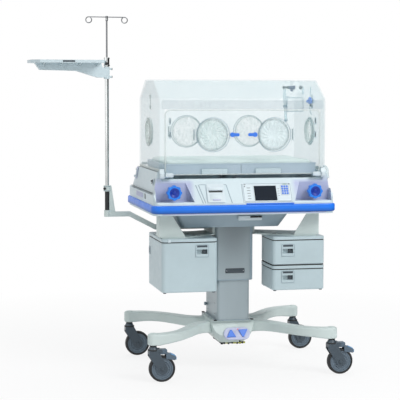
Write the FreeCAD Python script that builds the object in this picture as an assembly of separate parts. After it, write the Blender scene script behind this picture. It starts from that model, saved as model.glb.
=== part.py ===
import FreeCAD, Part
import math
import os

os.makedirs("parts", exist_ok=True)

# The model stands on the floor at z = 0, with the column's axis as the working origin.
# Front is -Y, left and right are as someone standing in front sees them.

# Running clearances
shaft_clearance = 0.05
slide_clearance = 0.4
cover_gap = 1.0
seat_gap = 0.3

# Casters
wheel_radius = 62.5
tyre_width = 30.0
tyre_thickness = 11.0
tyre_crown_radius = 6.0
caster_trail = 42.0
wheel_side_gap = 2.5
fork_cheek_thickness = 5.0
fork_eye_radius = 24.0
fork_head_radius = 22.0
fork_head_height = 18.0
fork_head_top = 168.0
axle_radius = 5.0
stem_radius = 9.0
stem_length = 42.0
bridge_wheel_gap = 8.0
brake_lever_length = 74.0
brake_lever_width = 34.0
brake_lever_thickness = 5.0
brake_lever_drop = 30.0
brake_skirt_start = 25.0
brake_skirt_depth = 17.0
brake_skirt_thickness = 3.0
brake_pivot_radius = 4.0
brake_barrel_radius = 7.0
brake_ear_thickness = 4.5
brake_pivot_x = 33.0
brake_pivot_z = 150.0

# Four-legged base
caster_x = 440.0
caster_y = 330.0
leg_bottom = 175.0
leg_height = 55.0
leg_root_top = 240.0
leg_root_bottom = 166.0
leg_waist_rise = 12.0
leg_half_width = 26.0
leg_root_half_width = 34.0
leg_edge_radius = 9.0
leg_root_y = 66.0
leg_bends = ((-158.0, -90.0), (-236.0, -188.0), (-318.0, -288.0))
hub_half_x = 107.0
hub_half_y = 150.0
hub_top = 245.0
hub_bottom = 130.0
hub_corner = 55.0
hub_shoulder_height = 48.0
hub_foot_share = 0.55

# Foot pedals
pedal_plate_length = 132.0
pedal_plate_height = 62.0
pedal_plate_thickness = 9.0
pedal_plate_tilt = 24.0
pedal_plate_x = 14.0
pedal_plate_z = 178.0
pedal_plate_sink = 12.0
pedal_pocket_floor = 3.0
pedal_pitch = 60.0
pedal_side = 46.0
pedal_thickness = 7.0
pedal_travel = 3.0

# Lifting column
column_half_x = 81.0
column_half_y = 128.0
column_corner = 14.0
column_wall = 6.0
column_top = 680.0
sleeve_half_x = 92.0
sleeve_half_y = 138.0
sleeve_corner = 16.0
sleeve_bottom = 444.0

# Cabinets under the deck
cabinet_front = -274.0
lid_top = 668.0
lid_thickness = 15.0
lid_gap = 5.0
left_cabinet_x = (-386.0, -116.0)
left_cabinet_depth = 352.0
left_bin_bottom = 411.0
right_cabinet_x = (157.0, 419.0)
right_cabinet_depth = 222.0
shelf_top = 527.0
right_bin_bottom = 408.0
cabinet_corner = 20.0
cabinet_back_thickness = 3.0
bin_wall = 3.0
bin_lip = 15.0
bin_lip_thickness = 8.0
rail_web = 3.0
rail_flange = 9.0
rail_flange_thickness = 5.0
pull_width = 66.0
pull_height = 60.0
pull_plate_proud = 2.0
pull_offset = 43.0
pull_drops = (9.0, 16.0, 4.0)
pull_pocket_width = 52.0
pull_pocket_height = 22.0
pull_pocket_depth = 14.0
pull_pocket_wall = 2.5

# Brackets and cross arm that carry the cabinets
arm_thickness = 6.0
arm_root_front = -120.0
arm_root_back = 60.0
arm_tip_x = 380.0
arm_tip_back = -80.0
arm_collar_depth = 14.0
arm_collar_rise = 30.0
bracket_front = -252.0
bracket_sheet = 4.0
bracket_inner_x = 270.0
bracket_top_x = 338.0
bracket_outer_x = 394.0
bracket_flange_depth = 78.0

# Main housing
body_half_x = 440.0
body_front = -352.0
body_back = 337.0
body_corner = 30.0
body_bottom = 786.0
front_lip_top = 840.0
deck_top = 954.0
deck_front = -288.0
deck_back = 236.0
ledge_top = 886.0
ledge_inset = 9.0
ledge_slant = 34.0
shoulder_top = 988.0
shoulder_half_x = 414.0
housing_wall = 4.0
tub_half_x = 390.0
tub_front = -282.0
tub_back = 200.0
tub_floor = 905.0
tub_corner = 20.0

# Bumper rail
bumper_proud = 9.0
bumper_bottom = 795.0
bumper_height = 38.0
bumper_round = 8.0
bumper_corner = 38.0

# Lower pan under the housing
pan_bottom = 713.0
pan_top_x = (-318.0, 250.0)
pan_front = -244.0
pan_back = 250.0
pan_draft = 42.0
pan_wall = 3.0
pan_corner = 20.0
pan_rim_thickness = 5.0
pan_beam_height = 12.0
pan_beam_width = 20.0
pan_beam_y = (-50.0, 50.0)

# Handwheels that tilt the bed
knob_x = 343.0
knob_z = 893.0
knob_radius = 36.0
knob_lobes = 8
knob_lobe_depth = 4.0
knob_thickness = 26.0
knob_front = -358.0
knob_shaft_radius = 8.0
knob_boss_radius = 22.0
knob_boss_length = 16.0
knob_dish_depth = 9.0
knob_hub_depth = 7.0
recess_wall_y = -298.0
recess_floor = 848.0
recess_outer_x = 428.0
recess_inner_x = 245.0
recess_lean = 45.0

# Water reservoir drawer
reservoir_x = (-182.0, -97.0)
reservoir_body_z = (850.0, 888.0)
reservoir_back = -165.0
reservoir_wall = 2.5
reservoir_face_thickness = 6.0
face_edge_margin = 5.0
slot_width = 68.0
slot_height = 10.0
slot_depth = 4.0
slot_start = 56.0
face_start = 4.0
face_share = 0.73

# Control panel on the sloping front
panel_x = (-8.0, 234.0)
panel_length = 98.0
panel_thickness = 6.0
panel_sink = 3.0
panel_start = 5.0
panel_corner = 6.0
screen_x = (49.0, 157.0)
screen_start = 6.0
screen_length = 77.0
screen_thickness = 2.5
screen_sink = 0.5
key_x = 184.0
key_columns = 3
key_rows = 4
key_pitch = 12.0
key_side = 9.0
key_thickness = 2.0
key_start = 38.0

# Bed
bed_half_x = 375.0
bed_front = -264.0
bed_back = 172.0
bed_bottom = 974.0
bed_height = 47.0
bed_wall = 3.0
bed_corner = 18.0
mattress_top = 1043.0
mattress_gap = 4.0
mattress_corner = 30.0
tilt_axis_z = 946.0
tilt_pin_radius = 6.0
tilt_lug_half_x = 12.0
tilt_lug_length = 30.0
tilt_ear_thickness = 10.0
tilt_ear_gap = 2.0
tilt_ear_foot = 26.0
tilt_station_y = (-190.0, 100.0)
bed_pull_x = 132.0
bed_pull_length = 124.0
bed_pull_height = 22.0
bed_pull_depth = 8.0
bed_pull_rise = 2.0

# Blower and heater under the tub
blower_x = 150.0
fan_radius = 62.0
fan_height = 34.0
fan_blades = 9
fan_bottom = 858.0
blower_motor_radius = 34.0
motor_shaft_radius = 4.0
motor_fan_gap = 8.0
motor_foot_reach = 12.0
motor_foot_thickness = 6.0
fan_hub_radius = 12.0
fan_plate_thickness = 2.5
fan_blade_sweep = 28.0
heater_rise = 12.0
heater_radius = 82.0
heater_tube_radius = 5.0
heater_foot_radius = 5.0

# Hood
hood_half_x = 406.0
hood_front = -303.0
hood_back = 210.0
hood_wall_top = 1330.0
hood_top = 1421.0
hood_chamfer = 153.0
hood_sheet = 5.0
hood_bend = 14.0
hood_hinge_y = 224.0
hood_hinge_radius = 5.0
hood_knuckle_radius = 11.0
hood_knuckle_length = 60.0
hood_knuckle_x = 300.0
hinge_post_thickness = 12.0
hinge_post_gap = 1.0

# Front access door and its hinge blocks
door_half_x = 380.0
door_bottom = 972.0
door_top = 1281.0
door_corner = 28.0
door_hinge_y = -312.0
door_hinge_z = 965.0
door_barrel_radius = 8.0
door_pin_radius = 3.0
door_pin_reach = 30.0
door_lug_length = 40.0
door_lug_height = 16.0
hinge_block_x = (383.0, 405.0)
hinge_block_top = 1002.0

# Hand ports
front_port_x = 150.0
rear_port_x = 164.0
port_z = 1162.0
port_hole_radius = 72.0
port_door_radius = 82.0
port_door_thickness = 4.0
port_rim_height = 7.0
port_rim_width = 5.0
port_hinge_offset = 91.0
port_hinge_radius = 5.5
port_pin_radius = 2.0
port_hinge_half_height = 26.0
port_hinge_standoff = 1.5
port_ear_height = 7.5
port_ear_gap = 0.5
end_port_radius = 70.0
end_port_hole_radius = 60.0
end_port_ring_depth = 14.0
end_port_wall = 4.0
end_port_flange = 5.0
end_port_z = 1170.0

# Port latches
latch_base_radius = 11.0
latch_base_depth = 9.0
latch_lever_length = 34.0
latch_lever_width = 15.0
latch_lever_thickness = 6.0
latch_pin_radius = 3.0
latch_standoff = 3.0

# Infusion pole
pole_x = -605.0
pole_radius = 9.5
pole_bore_radius = 7.0
pole_bottom = 778.0
pole_top = 1527.0
rod_radius = 4.0
rod_bottom = 1300.0
rod_top = 1706.0
collar_radius = 13.0
collar_height = 40.0
hook_bar_z = 1721.0
hook_half_length = 87.0
hook_wire_radius = 2.5
hook_ring_radius = 14.0
hook_ring_sweep = 325.0
hook_socket_radius = 6.0
hook_socket_height = 24.0
hook_socket_wall_top = 1726.0
pole_arm_z = 767.0
pole_arm_side = 24.0
pole_arm_knee_x = -492.0
pole_arm_low_z = 700.0
pole_arm_heel_x = -365.0
pole_arm_y = 0.0
foot_boss_height = 8.0
foot_boss_radius = 15.0
foot_collar_z = (879.0, 907.0)
foot_collar_radius = 17.0
fin_foot_length = 39.0
fin_top_length = 20.0
fin_half_width = 8.0

# Shelf on the infusion pole
shelf_rim_z = 1513.0
shelf_length = 345.0
shelf_gap = 30.0
shelf_half_depth = 130.0
shelf_nose = 40.0
shelf_floor = 3.0
shelf_rim_height = 14.0
shelf_rim_width = 4.0
shelf_ribs = 4
shelf_rib_height = 14.0
shelf_rib_thickness = 4.0
shelf_rib_inset = 14.0
shelf_rib_start = 20.0
shelf_rib_end = 40.0
shelf_skirt_inset = 26.0
beam_half_width = 30.0
beam_shoulder = 4.0
beam_swell_reach = 45.0
beam_taper_reach = 150.0
beam_root_bottom = 1430.0
beam_tip_bottom = 1466.0
clamp_radius = 14.0
clamp_bottom = 1424.0
clamp_top = 1482.0
clamp_knob_radius = 5.0
clamp_knob_length = 6.0
clamp_screw_radius = 2.5
clamp_screw_reach = 4.0
clamp_knob_spacing = 38.0

# Positions that follow from the sizes above
leg_top = leg_bottom + leg_height
panel_proud = panel_thickness - panel_sink
slope_rise = deck_top - front_lip_top
slope_run = deck_front - body_front
slope_angle = math.degrees(math.atan2(slope_rise, slope_run))
shelf_tip_x = pole_x - shelf_gap - shelf_length
wheel_reach = caster_x + caster_trail + wheel_radius
fork_half_width = tyre_width / 2 + wheel_side_gap + fork_cheek_thickness
fork_reach = caster_y + fork_half_width
front_reach = max(bumper_proud - body_front, fork_reach)
back_reach = max(body_back + bumper_proud, fork_reach)
origin_x = (shelf_tip_x + wheel_reach) / 2
origin_y = (back_reach - front_reach) / 2
blower_y = pan_beam_y[1]
pole_arm_end_x = -sleeve_half_x - arm_collar_depth
lid_bottom = lid_top - lid_thickness
bin_top = lid_bottom - lid_gap
shelf_bottom = shelf_top - lid_thickness
tub_under = tub_floor - housing_wall
beam_seat = body_bottom + pan_beam_height


def vec(x, y, z):
    return FreeCAD.Vector(x, y, z)


def block(x0, x1, y0, y1, z0, z1):
    return Part.makeBox(x1 - x0, y1 - y0, z1 - z0, vec(x0, y0, z0))


def rod(start, direction, radius, length):
    return Part.makeCylinder(radius, length, start, direction)


def rounded_wire(x0, x1, y0, y1, z, radius):
    """A rectangle with round corners, lying flat at height z."""
    r = radius
    c = r * (1 - math.sqrt(0.5))
    edges = [
        Part.LineSegment(vec(x0 + r, y0, z), vec(x1 - r, y0, z)),
        Part.Arc(vec(x1 - r, y0, z), vec(x1 - c, y0 + c, z), vec(x1, y0 + r, z)),
        Part.LineSegment(vec(x1, y0 + r, z), vec(x1, y1 - r, z)),
        Part.Arc(vec(x1, y1 - r, z), vec(x1 - c, y1 - c, z), vec(x1 - r, y1, z)),
        Part.LineSegment(vec(x1 - r, y1, z), vec(x0 + r, y1, z)),
        Part.Arc(vec(x0 + r, y1, z), vec(x0 + c, y1 - c, z), vec(x0, y1 - r, z)),
        Part.LineSegment(vec(x0, y1 - r, z), vec(x0, y0 + r, z)),
        Part.Arc(vec(x0, y0 + r, z), vec(x0 + c, y0 + c, z), vec(x0 + r, y0, z)),
    ]
    return Part.Wire([edge.toShape() for edge in edges])


def rounded_block(x0, x1, y0, y1, z0, z1, radius):
    face = Part.Face(rounded_wire(x0, x1, y0, y1, z0, radius))
    return face.extrude(vec(0, 0, z1 - z0))


def profile_yz(points, x0, x1):
    """A closed outline in the YZ plane, drawn out from x0 to x1."""
    corners = [vec(x0, y, z) for y, z in points]
    face = Part.Face(Part.makePolygon(corners + corners[:1]))
    return face.extrude(vec(x1 - x0, 0, 0))


def profile_xz(points, y0, y1):
    """A closed outline in the XZ plane, drawn out from y0 to y1."""
    corners = [vec(x, y0, z) for x, z in points]
    face = Part.Face(Part.makePolygon(corners + corners[:1]))
    return face.extrude(vec(0, y1 - y0, 0))


def profile_xy(points, z0, z1):
    """A closed outline in the XY plane, drawn up from z0 to z1."""
    corners = [vec(x, y, z0) for x, y in points]
    face = Part.Face(Part.makePolygon(corners + corners[:1]))
    return face.extrude(vec(0, 0, z1 - z0))


def round_edges(shape, radius, wanted):
    """Fillet the edges that the test picks."""
    edges = [edge for edge in shape.Edges if wanted(edge)]
    return shape.makeFillet(radius, edges) if edges else shape


def mirror_x(shape):
    return shape.mirror(vec(0, 0, 0), vec(1, 0, 0))


def mirror_y(shape):
    return shape.mirror(vec(0, 0, 0), vec(0, 1, 0))


def joined(*shapes):
    result = shapes[0]
    for shape in shapes[1:]:
        result = result.fuse(shape)
    return result.removeSplitter()


def save(name, *shapes):
    """Write one node about the origin under the middle of the whole object."""
    solids = [solid for shape in shapes for solid in shape.Solids]
    node = solids[0] if len(solids) == 1 else Part.makeCompound(solids)
    node.translate(vec(-origin_x, -origin_y, 0))
    node.exportStep("parts/" + name + ".step")


def slope_place(shape, start_y, start_z):
    """Lay a shape drawn flat with its front edge at y = 0 on the sloping front."""
    placed = shape.copy()
    placed.rotate(vec(0, 0, 0), vec(1, 0, 0), slope_angle)
    placed.translate(vec(0, start_y, start_z))
    return placed


def at_caster(shape, side_x, side_y):
    placed = shape.copy()
    placed.translate(vec(side_x * caster_x, side_y * caster_y, 0))
    return placed


def caster_fork():
    """Swivel head, two cheeks that sweep back to the axle, the axle and the stem."""
    inner = tyre_width / 2 + wheel_side_gap
    outer = inner + fork_cheek_thickness
    head_bottom = fork_head_top - fork_head_height
    axle = vec(caster_trail, -outer, wheel_radius)
    bridge_bottom = 2 * wheel_radius + bridge_wheel_gap
    cheek_line = [
        (-fork_head_radius, head_bottom), (fork_head_radius, head_bottom),
        (caster_trail + fork_eye_radius, wheel_radius + 6.0),
        (caster_trail, wheel_radius - fork_eye_radius * 0.7),
        (caster_trail - fork_eye_radius, wheel_radius), (-fork_head_radius, bridge_bottom - 10.0),
    ]
    cheek = profile_xz(cheek_line, -outer, -inner)
    cheek = cheek.fuse(rod(axle, vec(0, 1, 0), fork_eye_radius, fork_cheek_thickness))
    bridge = block(-fork_head_radius, fork_head_radius, -outer, outer, bridge_bottom, head_bottom)
    head = Part.makeCone(fork_head_radius + 3.0, fork_head_radius - 5.0, fork_head_height,
                         vec(0, 0, head_bottom))
    stem_reach = leg_bottom - fork_head_top + stem_length - 2.0
    stem = rod(vec(0, 0, fork_head_top), vec(0, 0, 1), stem_radius, stem_reach)
    pin = rod(axle, vec(0, 1, 0), axle_radius, 2 * outer)
    return joined(cheek, mirror_y(cheek), bridge, head, stem, pin)


def brake_ears():
    """Two ears and a pin on the fork that carry the brake lever."""
    half = brake_lever_width / 2 + seat_gap
    low = fork_head_top - fork_head_height - 8.0
    ear = profile_xz([
        (fork_head_radius - 8.0, low), (brake_pivot_x + brake_barrel_radius, brake_pivot_z - 6.0),
        (brake_pivot_x + brake_barrel_radius, brake_pivot_z + 5.0), (brake_pivot_x, brake_pivot_z + 8.0),
        (fork_head_radius - 8.0, brake_pivot_z + 8.0),
    ], -half - brake_ear_thickness, -half)
    pin_start = vec(brake_pivot_x, -half - 1.0, brake_pivot_z)
    pin = rod(pin_start, vec(0, 1, 0), brake_pivot_radius, 2 * half + 2.0)
    return [ear, mirror_y(ear), pin]


def caster_tyre():
    """Rubber ring with a crowned tread."""
    half = tyre_width / 2
    ring = rod(vec(0, -half, 0), vec(0, 1, 0), wheel_radius, tyre_width)
    ring = round_edges(ring, tyre_crown_radius, lambda edge: edge.BoundBox.XLength > wheel_radius)
    bore = rod(vec(0, -half, 0), vec(0, 1, 0), wheel_radius - tyre_thickness, tyre_width)
    ring = ring.cut(bore)
    ring.translate(vec(caster_trail, 0, wheel_radius))
    return ring


def caster_hub():
    """Wheel core with dished sides and a bore for the axle."""
    rim = wheel_radius - tyre_thickness
    half = tyre_width / 2 - 1.0
    section = [
        vec(axle_radius + shaft_clearance, -half, 0), vec(axle_radius + 9.0, -half, 0),
        vec(axle_radius + 14.0, -half + 6.0, 0), vec(rim - 9.0, -half + 6.0, 0),
        vec(rim - 6.0, -half, 0), vec(rim, -half, 0),
    ]
    section += [vec(point.x, -point.y, 0) for point in reversed(section)]
    face = Part.Face(Part.makePolygon(section + section[:1]))
    core = face.revolve(vec(0, 0, 0), vec(0, 1, 0), 360)
    core.translate(vec(caster_trail, 0, wheel_radius))
    return core


def brake_lever():
    """Foot lever that arches down over the wheel between two skirts, on a barrel round the fork's pin."""
    half = brake_lever_width / 2
    x, z = brake_pivot_x, brake_pivot_z
    tip = x + brake_lever_length
    t = brake_lever_thickness
    tip_top = z - brake_lever_drop
    bend_x, bend_z = x + brake_lever_length * 0.62, z - brake_lever_drop * 0.54
    top_line = [(tip, tip_top), (bend_x, bend_z), (x + brake_barrel_radius, z + t - 2.0)]
    pad = profile_xz([
        (x, z - brake_barrel_radius), (x + 17.0, z - 10.0), (bend_x - 4.0, bend_z - t),
        (tip - 3.0, tip_top - t), *top_line, (x, z + brake_barrel_radius),
    ], -half, half)
    skirt_x = x + brake_skirt_start
    outer = half + brake_skirt_thickness
    skirt = profile_xz([
        (skirt_x, z - 9.0), (skirt_x + 2.0, z - brake_lever_drop * 0.75 - brake_skirt_depth),
        (tip - 4.0, tip_top - brake_skirt_depth), (tip, tip_top), (bend_x, bend_z),
    ], half, outer)
    pieces = [pad, skirt, mirror_y(skirt)]
    barrel = rod(vec(x, -half, z), vec(0, 1, 0), brake_barrel_radius, brake_lever_width)
    bore = rod(vec(x, -half, z), vec(0, 1, 0), brake_pivot_radius + shaft_clearance, brake_lever_width)
    return joined(*pieces, barrel).cut(bore)


def leg_plan():
    """Plan of one leg, to the front left: an S-curve of tapering width with a round end over its caster."""
    path = [(-hub_half_x + 40.0, -leg_root_y), *leg_bends, (-caster_x, -caster_y)]
    centre = Part.BSplineCurve()
    centre.interpolate([vec(x, y, 0) for x, y in path])
    left, right = [], []
    steps = 8
    for i in range(steps + 1):
        u = centre.FirstParameter + (centre.LastParameter - centre.FirstParameter) * i / steps
        point = centre.value(u)
        along = centre.tangent(u)[0]
        across = vec(-along.y, along.x, 0)
        half = leg_root_half_width + (leg_half_width - leg_root_half_width) * i / steps
        left.append(point + across * half)
        right.append(point - across * half)
    tip = centre.value(centre.LastParameter) + centre.tangent(centre.LastParameter)[0] * leg_half_width
    side_a = Part.BSplineCurve()
    side_a.interpolate(left)
    side_b = Part.BSplineCurve()
    side_b.interpolate(right)
    edges = [
        side_a.toShape(), Part.Arc(left[-1], tip, right[-1]).toShape(),
        side_b.toShape(), Part.LineSegment(right[0], left[0]).toShape(),
    ]
    return Part.Face(Part.Wire(Part.__sortEdges__(edges)))


def leg():
    """One cast leg: its plan drawn up, waisted from below and swelling towards the hub."""
    arm = leg_plan().extrude(vec(0, 0, leg_root_top))
    far, near = -caster_x - leg_half_width - 1.0, -hub_half_x + 80.0
    waist_x = (far + near) / 2
    flat_end = vec(-caster_x + leg_half_width, 0, leg_bottom)
    under = Part.Arc(flat_end, vec(waist_x, 0, leg_bottom + leg_waist_rise), vec(near, 0, leg_root_bottom))
    over = Part.Arc(vec(near, 0, leg_root_top), vec(waist_x, 0, leg_top + 1.0), vec(-caster_x, 0, leg_top))
    corners = [vec(-caster_x, 0, leg_top), vec(far, 0, leg_top), vec(far, 0, leg_bottom), flat_end]
    lines = [Part.LineSegment(start, end) for start, end in zip(corners, corners[1:])]
    lines.append(Part.LineSegment(vec(near, 0, leg_root_bottom), vec(near, 0, leg_root_top)))
    outline = Part.Wire(Part.__sortEdges__([curve.toShape() for curve in (under, over, *lines)]))
    side = Part.Face(outline).extrude(vec(0, -caster_y - 2 * leg_half_width, 0))
    arm = arm.common(side)
    arm = round_edges(arm, leg_edge_radius, is_leg_rim)
    foot = vec(-caster_x, -caster_y, leg_bottom)
    socket = rod(foot, vec(0, 0, 1), stem_radius + shaft_clearance, stem_length)
    return arm.cut(socket).cut(hub_body())


def is_leg_rim(edge):
    """Whether an edge runs along the top or the underside of a leg."""
    box = edge.BoundBox
    along = box.XLength > leg_root_half_width or box.YLength > leg_root_half_width
    return along and box.XMin < -hub_half_x and edge.Length > 2 * leg_root_half_width + 1.0


def hub_body():
    """Cast bowl between the legs, narrower below than above."""
    x, y = hub_half_x, hub_half_y
    foot = hub_foot_share
    wires = [
        rounded_wire(-x * foot, x * foot, -y * 0.7, y * 0.7, hub_bottom, 30.0),
        rounded_wire(-x * 0.92, x * 0.92, -y * 0.95, y * 0.95, hub_bottom + hub_shoulder_height, 45.0),
        rounded_wire(-x, x, -y, y, hub_top, hub_corner),
    ]
    return Part.makeLoft(wires, True, False)


def base_hub():
    """The bowl, with a chamfer that backs the pedal plate."""
    body = hub_body()
    reach = hub_half_x + abs(pedal_plate_x)
    high = pedal_plate_height
    return body.cut(pedal_frame(block(-reach, reach, -high, high, 0.0, hub_half_y)))


def pedal_frame(shape):
    """Move a shape drawn flat, facing +Z, to the sloping pedal station on the hub's front."""
    placed = shape.copy()
    placed.rotate(vec(0, 0, 0), vec(1, 0, 0), 90.0 - pedal_plate_tilt)
    placed.translate(vec(pedal_plate_x, -hub_half_y + pedal_plate_sink, pedal_plate_z))
    return placed


def pedal_plate():
    """Oval plate with a pocket for each pedal."""
    half = pedal_plate_length / 2
    tall = pedal_plate_height / 2
    plate = rounded_block(-half, half, -tall, tall, 0.0, pedal_plate_thickness, tall - 1.0)
    plate = round_edges(plate, 2.5, lambda edge: abs(edge.BoundBox.ZMin - pedal_plate_thickness) < 0.1)
    for side in (-1, 1):
        pocket = pedal_triangle(side, pedal_side + 2 * cover_gap, pedal_pocket_floor, pedal_plate_thickness)
        plate = plate.cut(pocket)
    return pedal_frame(plate)


def pedal_triangle(side, width, z0, z1):
    """A triangle with cut corners, pointing up on the left and down on the right."""
    up = -side
    tall = width * 0.78
    tip = width * 0.08
    x = side * pedal_pitch / 2
    corners = [
        (x - width / 2, -up * tall / 2), (x + width / 2, -up * tall / 2),
        (x + tip, up * tall / 2), (x - tip, up * tall / 2),
    ]
    return profile_xy(corners, z0, z1)


def pedal(side):
    """Sprung foot pad that stands proud of the plate."""
    low = pedal_pocket_floor + pedal_travel + seat_gap
    pad = pedal_triangle(side, pedal_side, low, pedal_plate_thickness + pedal_thickness - 2.0)
    return pedal_frame(pad)


def lower_column():
    """Fixed box column of the lift, open at the top."""
    x, y = column_half_x, column_half_y
    outer = rounded_block(-x, x, -y, y, hub_top, column_top, column_corner)
    x, y = column_half_x - column_wall, column_half_y - column_wall
    inner = rounded_block(-x, x, -y, y, hub_top + column_wall, column_top, column_corner - column_wall)
    return outer.cut(inner)


def upper_column():
    """Moving sleeve, a running fit over the lower column, capped under the housing."""
    outer = rounded_block(-sleeve_half_x, sleeve_half_x, -sleeve_half_y, sleeve_half_y, sleeve_bottom,
                          body_bottom, sleeve_corner)
    x, y = column_half_x + slide_clearance, column_half_y + slide_clearance
    inner = rounded_block(-x, x, -y, y, sleeve_bottom, body_bottom, column_corner + slide_clearance)
    return outer.cut(inner)


def lid_plate(x0, x1, depth, top):
    back = cabinet_front + depth
    plate = rounded_block(x0, x1, cabinet_front, back, top - lid_thickness, top, cabinet_corner)
    return round_edges(plate, 4.0, lambda edge: abs(edge.BoundBox.ZMin - top) < 0.1
                       and edge.BoundBox.ZLength < 0.1)


def runner_rails(x0, x1, depth, top):
    """Two angle rails under a lid, whose flanges carry the lips of the bin."""
    low = top - lid_gap - bin_lip_thickness - seat_gap
    y0, y1 = cabinet_front + 30.0, cabinet_front + depth - 25.0
    web_x = x0 + bin_wall + bin_lip + cover_gap
    web = block(web_x, web_x + rail_web, y0, y1, low - rail_flange_thickness, top)
    flange = block(web_x - rail_flange, web_x, y0, y1, low - rail_flange_thickness, low)
    left = web.fuse(flange)
    right = left.mirror(vec((x0 + x1) / 2, 0, 0), vec(1, 0, 0))
    return [left, right]


def cabinet_lid_left():
    x0, x1 = left_cabinet_x
    rails = runner_rails(x0, x1, left_cabinet_depth, lid_bottom)
    return joined(lid_plate(x0, x1, left_cabinet_depth, lid_top), *rails)


def cabinet_lid_right():
    """Lid, middle shelf and the back plate that holds the shelf, with rails for two drawers."""
    x0, x1 = right_cabinet_x
    back = cabinet_front + right_cabinet_depth
    rails = runner_rails(x0, x1, right_cabinet_depth, lid_bottom)
    rails += runner_rails(x0, x1, right_cabinet_depth, shelf_bottom)
    plate = block(x0 + cabinet_corner, x1 - cabinet_corner, back - cabinet_back_thickness, back,
                  shelf_bottom, lid_top - 5.0)
    return joined(lid_plate(x0, x1, right_cabinet_depth, lid_top),
                  lid_plate(x0, x1, right_cabinet_depth, shelf_top), plate, *rails)


def drawer_bin(x0, x1, depth, low, top, frame_x, frame_top):
    """Open bin with inward side lips, a low back wall and a recessed finger pull."""
    y0, y1 = cabinet_front, cabinet_front + depth
    outer = rounded_block(x0, x1, y0, y1, low, top, cabinet_corner)
    outer = round_edges(outer, 6.0, lambda edge: abs(edge.BoundBox.ZMax - low) < 0.1)
    w = bin_wall
    inner = rounded_block(x0 + w, x1 - w, y0 + w, y1 - w, low + w, top, cabinet_corner - w)
    bin_shell = outer.cut(inner)
    for side_x in (x0, x1 - w - bin_lip):
        lip = block(side_x, side_x + w + bin_lip, y0 + cabinet_corner, y1 - cabinet_corner - 6.0,
                    top - bin_lip_thickness, top)
        bin_shell = bin_shell.fuse(lip)
    rail_room = lid_gap + bin_lip_thickness + rail_flange_thickness + 4.0
    bin_shell = bin_shell.cut(block(x0 + w, x1 - w, y1 - cabinet_corner, y1, top - rail_room, top))
    plate = block(frame_x, frame_x + pull_width, y0 - pull_plate_proud, y0 + w, frame_top - pull_height,
                  frame_top)
    pocket_x = frame_x + (pull_width - pull_pocket_width) / 2
    pocket_z = frame_top - pull_height / 2 - 4.0
    t = pull_pocket_wall
    cup = block(pocket_x - t, pocket_x + pull_pocket_width + t, y0, y0 + pull_pocket_depth + t,
                pocket_z - pull_pocket_height / 2 - t, pocket_z + pull_pocket_height / 2 + t)
    pocket = block(pocket_x, pocket_x + pull_pocket_width, y0 - pull_plate_proud, y0 + pull_pocket_depth,
                   pocket_z - pull_pocket_height / 2, pocket_z + pull_pocket_height / 2)
    return joined(bin_shell, plate, cup).cut(pocket)


def cross_arm():
    """Plate wings that reach from the sleeve to the brackets and lie on the cabinet lids."""
    z0, z1 = lid_top, lid_top + arm_thickness
    wing = profile_xy([
        (-sleeve_half_x, arm_root_front), (-bracket_inner_x, bracket_front), (-arm_tip_x, bracket_front),
        (-arm_tip_x, arm_tip_back), (-sleeve_half_x, arm_root_back),
    ], z0, z1)
    collar = block(-sleeve_half_x - arm_collar_depth, -sleeve_half_x, arm_root_front, arm_root_back, z0,
                   z1 + arm_collar_rise)
    half = joined(wing, collar)
    return [half, mirror_x(half)]


def cabinet_brackets():
    """Folded gusset brackets between the underside of the housing and the cross arm."""
    z0, z1 = lid_top + arm_thickness, body_bottom
    gusset = profile_xz([
        (-bracket_outer_x, z0), (-bracket_inner_x, z0), (-bracket_inner_x - 4.0, z0 + 12.0),
        (-bracket_top_x, z1), (-bracket_outer_x, z1),
    ], bracket_front, bracket_front + bracket_sheet)
    side = block(-bracket_outer_x, -bracket_outer_x + bracket_sheet, bracket_front,
                 bracket_front + bracket_flange_depth, z0, z1)
    top = block(-bracket_outer_x, -bracket_top_x, bracket_front, bracket_front + bracket_flange_depth,
                z1 - bracket_sheet, z1)
    foot_back = bracket_front + bracket_flange_depth * 0.6
    foot = block(-bracket_outer_x, -bracket_inner_x, bracket_front, foot_back, z0, z0 + bracket_sheet)
    half = joined(gusset, side, top, foot)
    return [half, mirror_x(half)]


def housing_block(inset):
    """The housing's outer form, or the cavity inside it, a wall's thickness smaller."""
    w = inset
    x = body_half_x - w
    tip = shoulder_half_x - w
    bottom = body_bottom - (1.0 if w else 0.0)
    front, back = body_front + w, body_back - w
    lean = w / math.sin(math.radians(slope_angle))
    middle = [
        (front, bottom), (front, front_lip_top),
        (deck_front + lean, deck_top - w), (deck_back - w, deck_top - w),
        (deck_back + ledge_slant - w, ledge_top + 4.0 - w), (back, ledge_top - w), (back, bottom),
    ]
    ends = [
        (front, bottom), (front, front_lip_top), (deck_front - 14.0 + lean, deck_top - 6.0),
        (deck_front - 8.0 + w, shoulder_top - w), (deck_back - 14.0 - w, shoulder_top - w),
        (deck_back + ledge_slant - 8.0 - w, ledge_top + 4.0 - w), (back, ledge_top - w), (back, bottom),
    ]
    across = [
        (-x, bottom), (-x, ledge_top - 6.0), (-x + ledge_inset, ledge_top), (-tip, shoulder_top),
        (tip, shoulder_top), (x - ledge_inset, ledge_top), (x, ledge_top - 6.0), (x, bottom),
    ]
    inner_x = tub_half_x + housing_wall + w
    form = profile_yz(middle, -x, x)
    form = form.fuse(profile_yz(ends, -x, -inner_x)).fuse(profile_yz(ends, inner_x, x))
    form = form.common(profile_xz(across, front, back))
    plan = rounded_block(-x, x, front, back, bottom, shoulder_top, body_corner - w)
    return form.common(plan)


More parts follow.
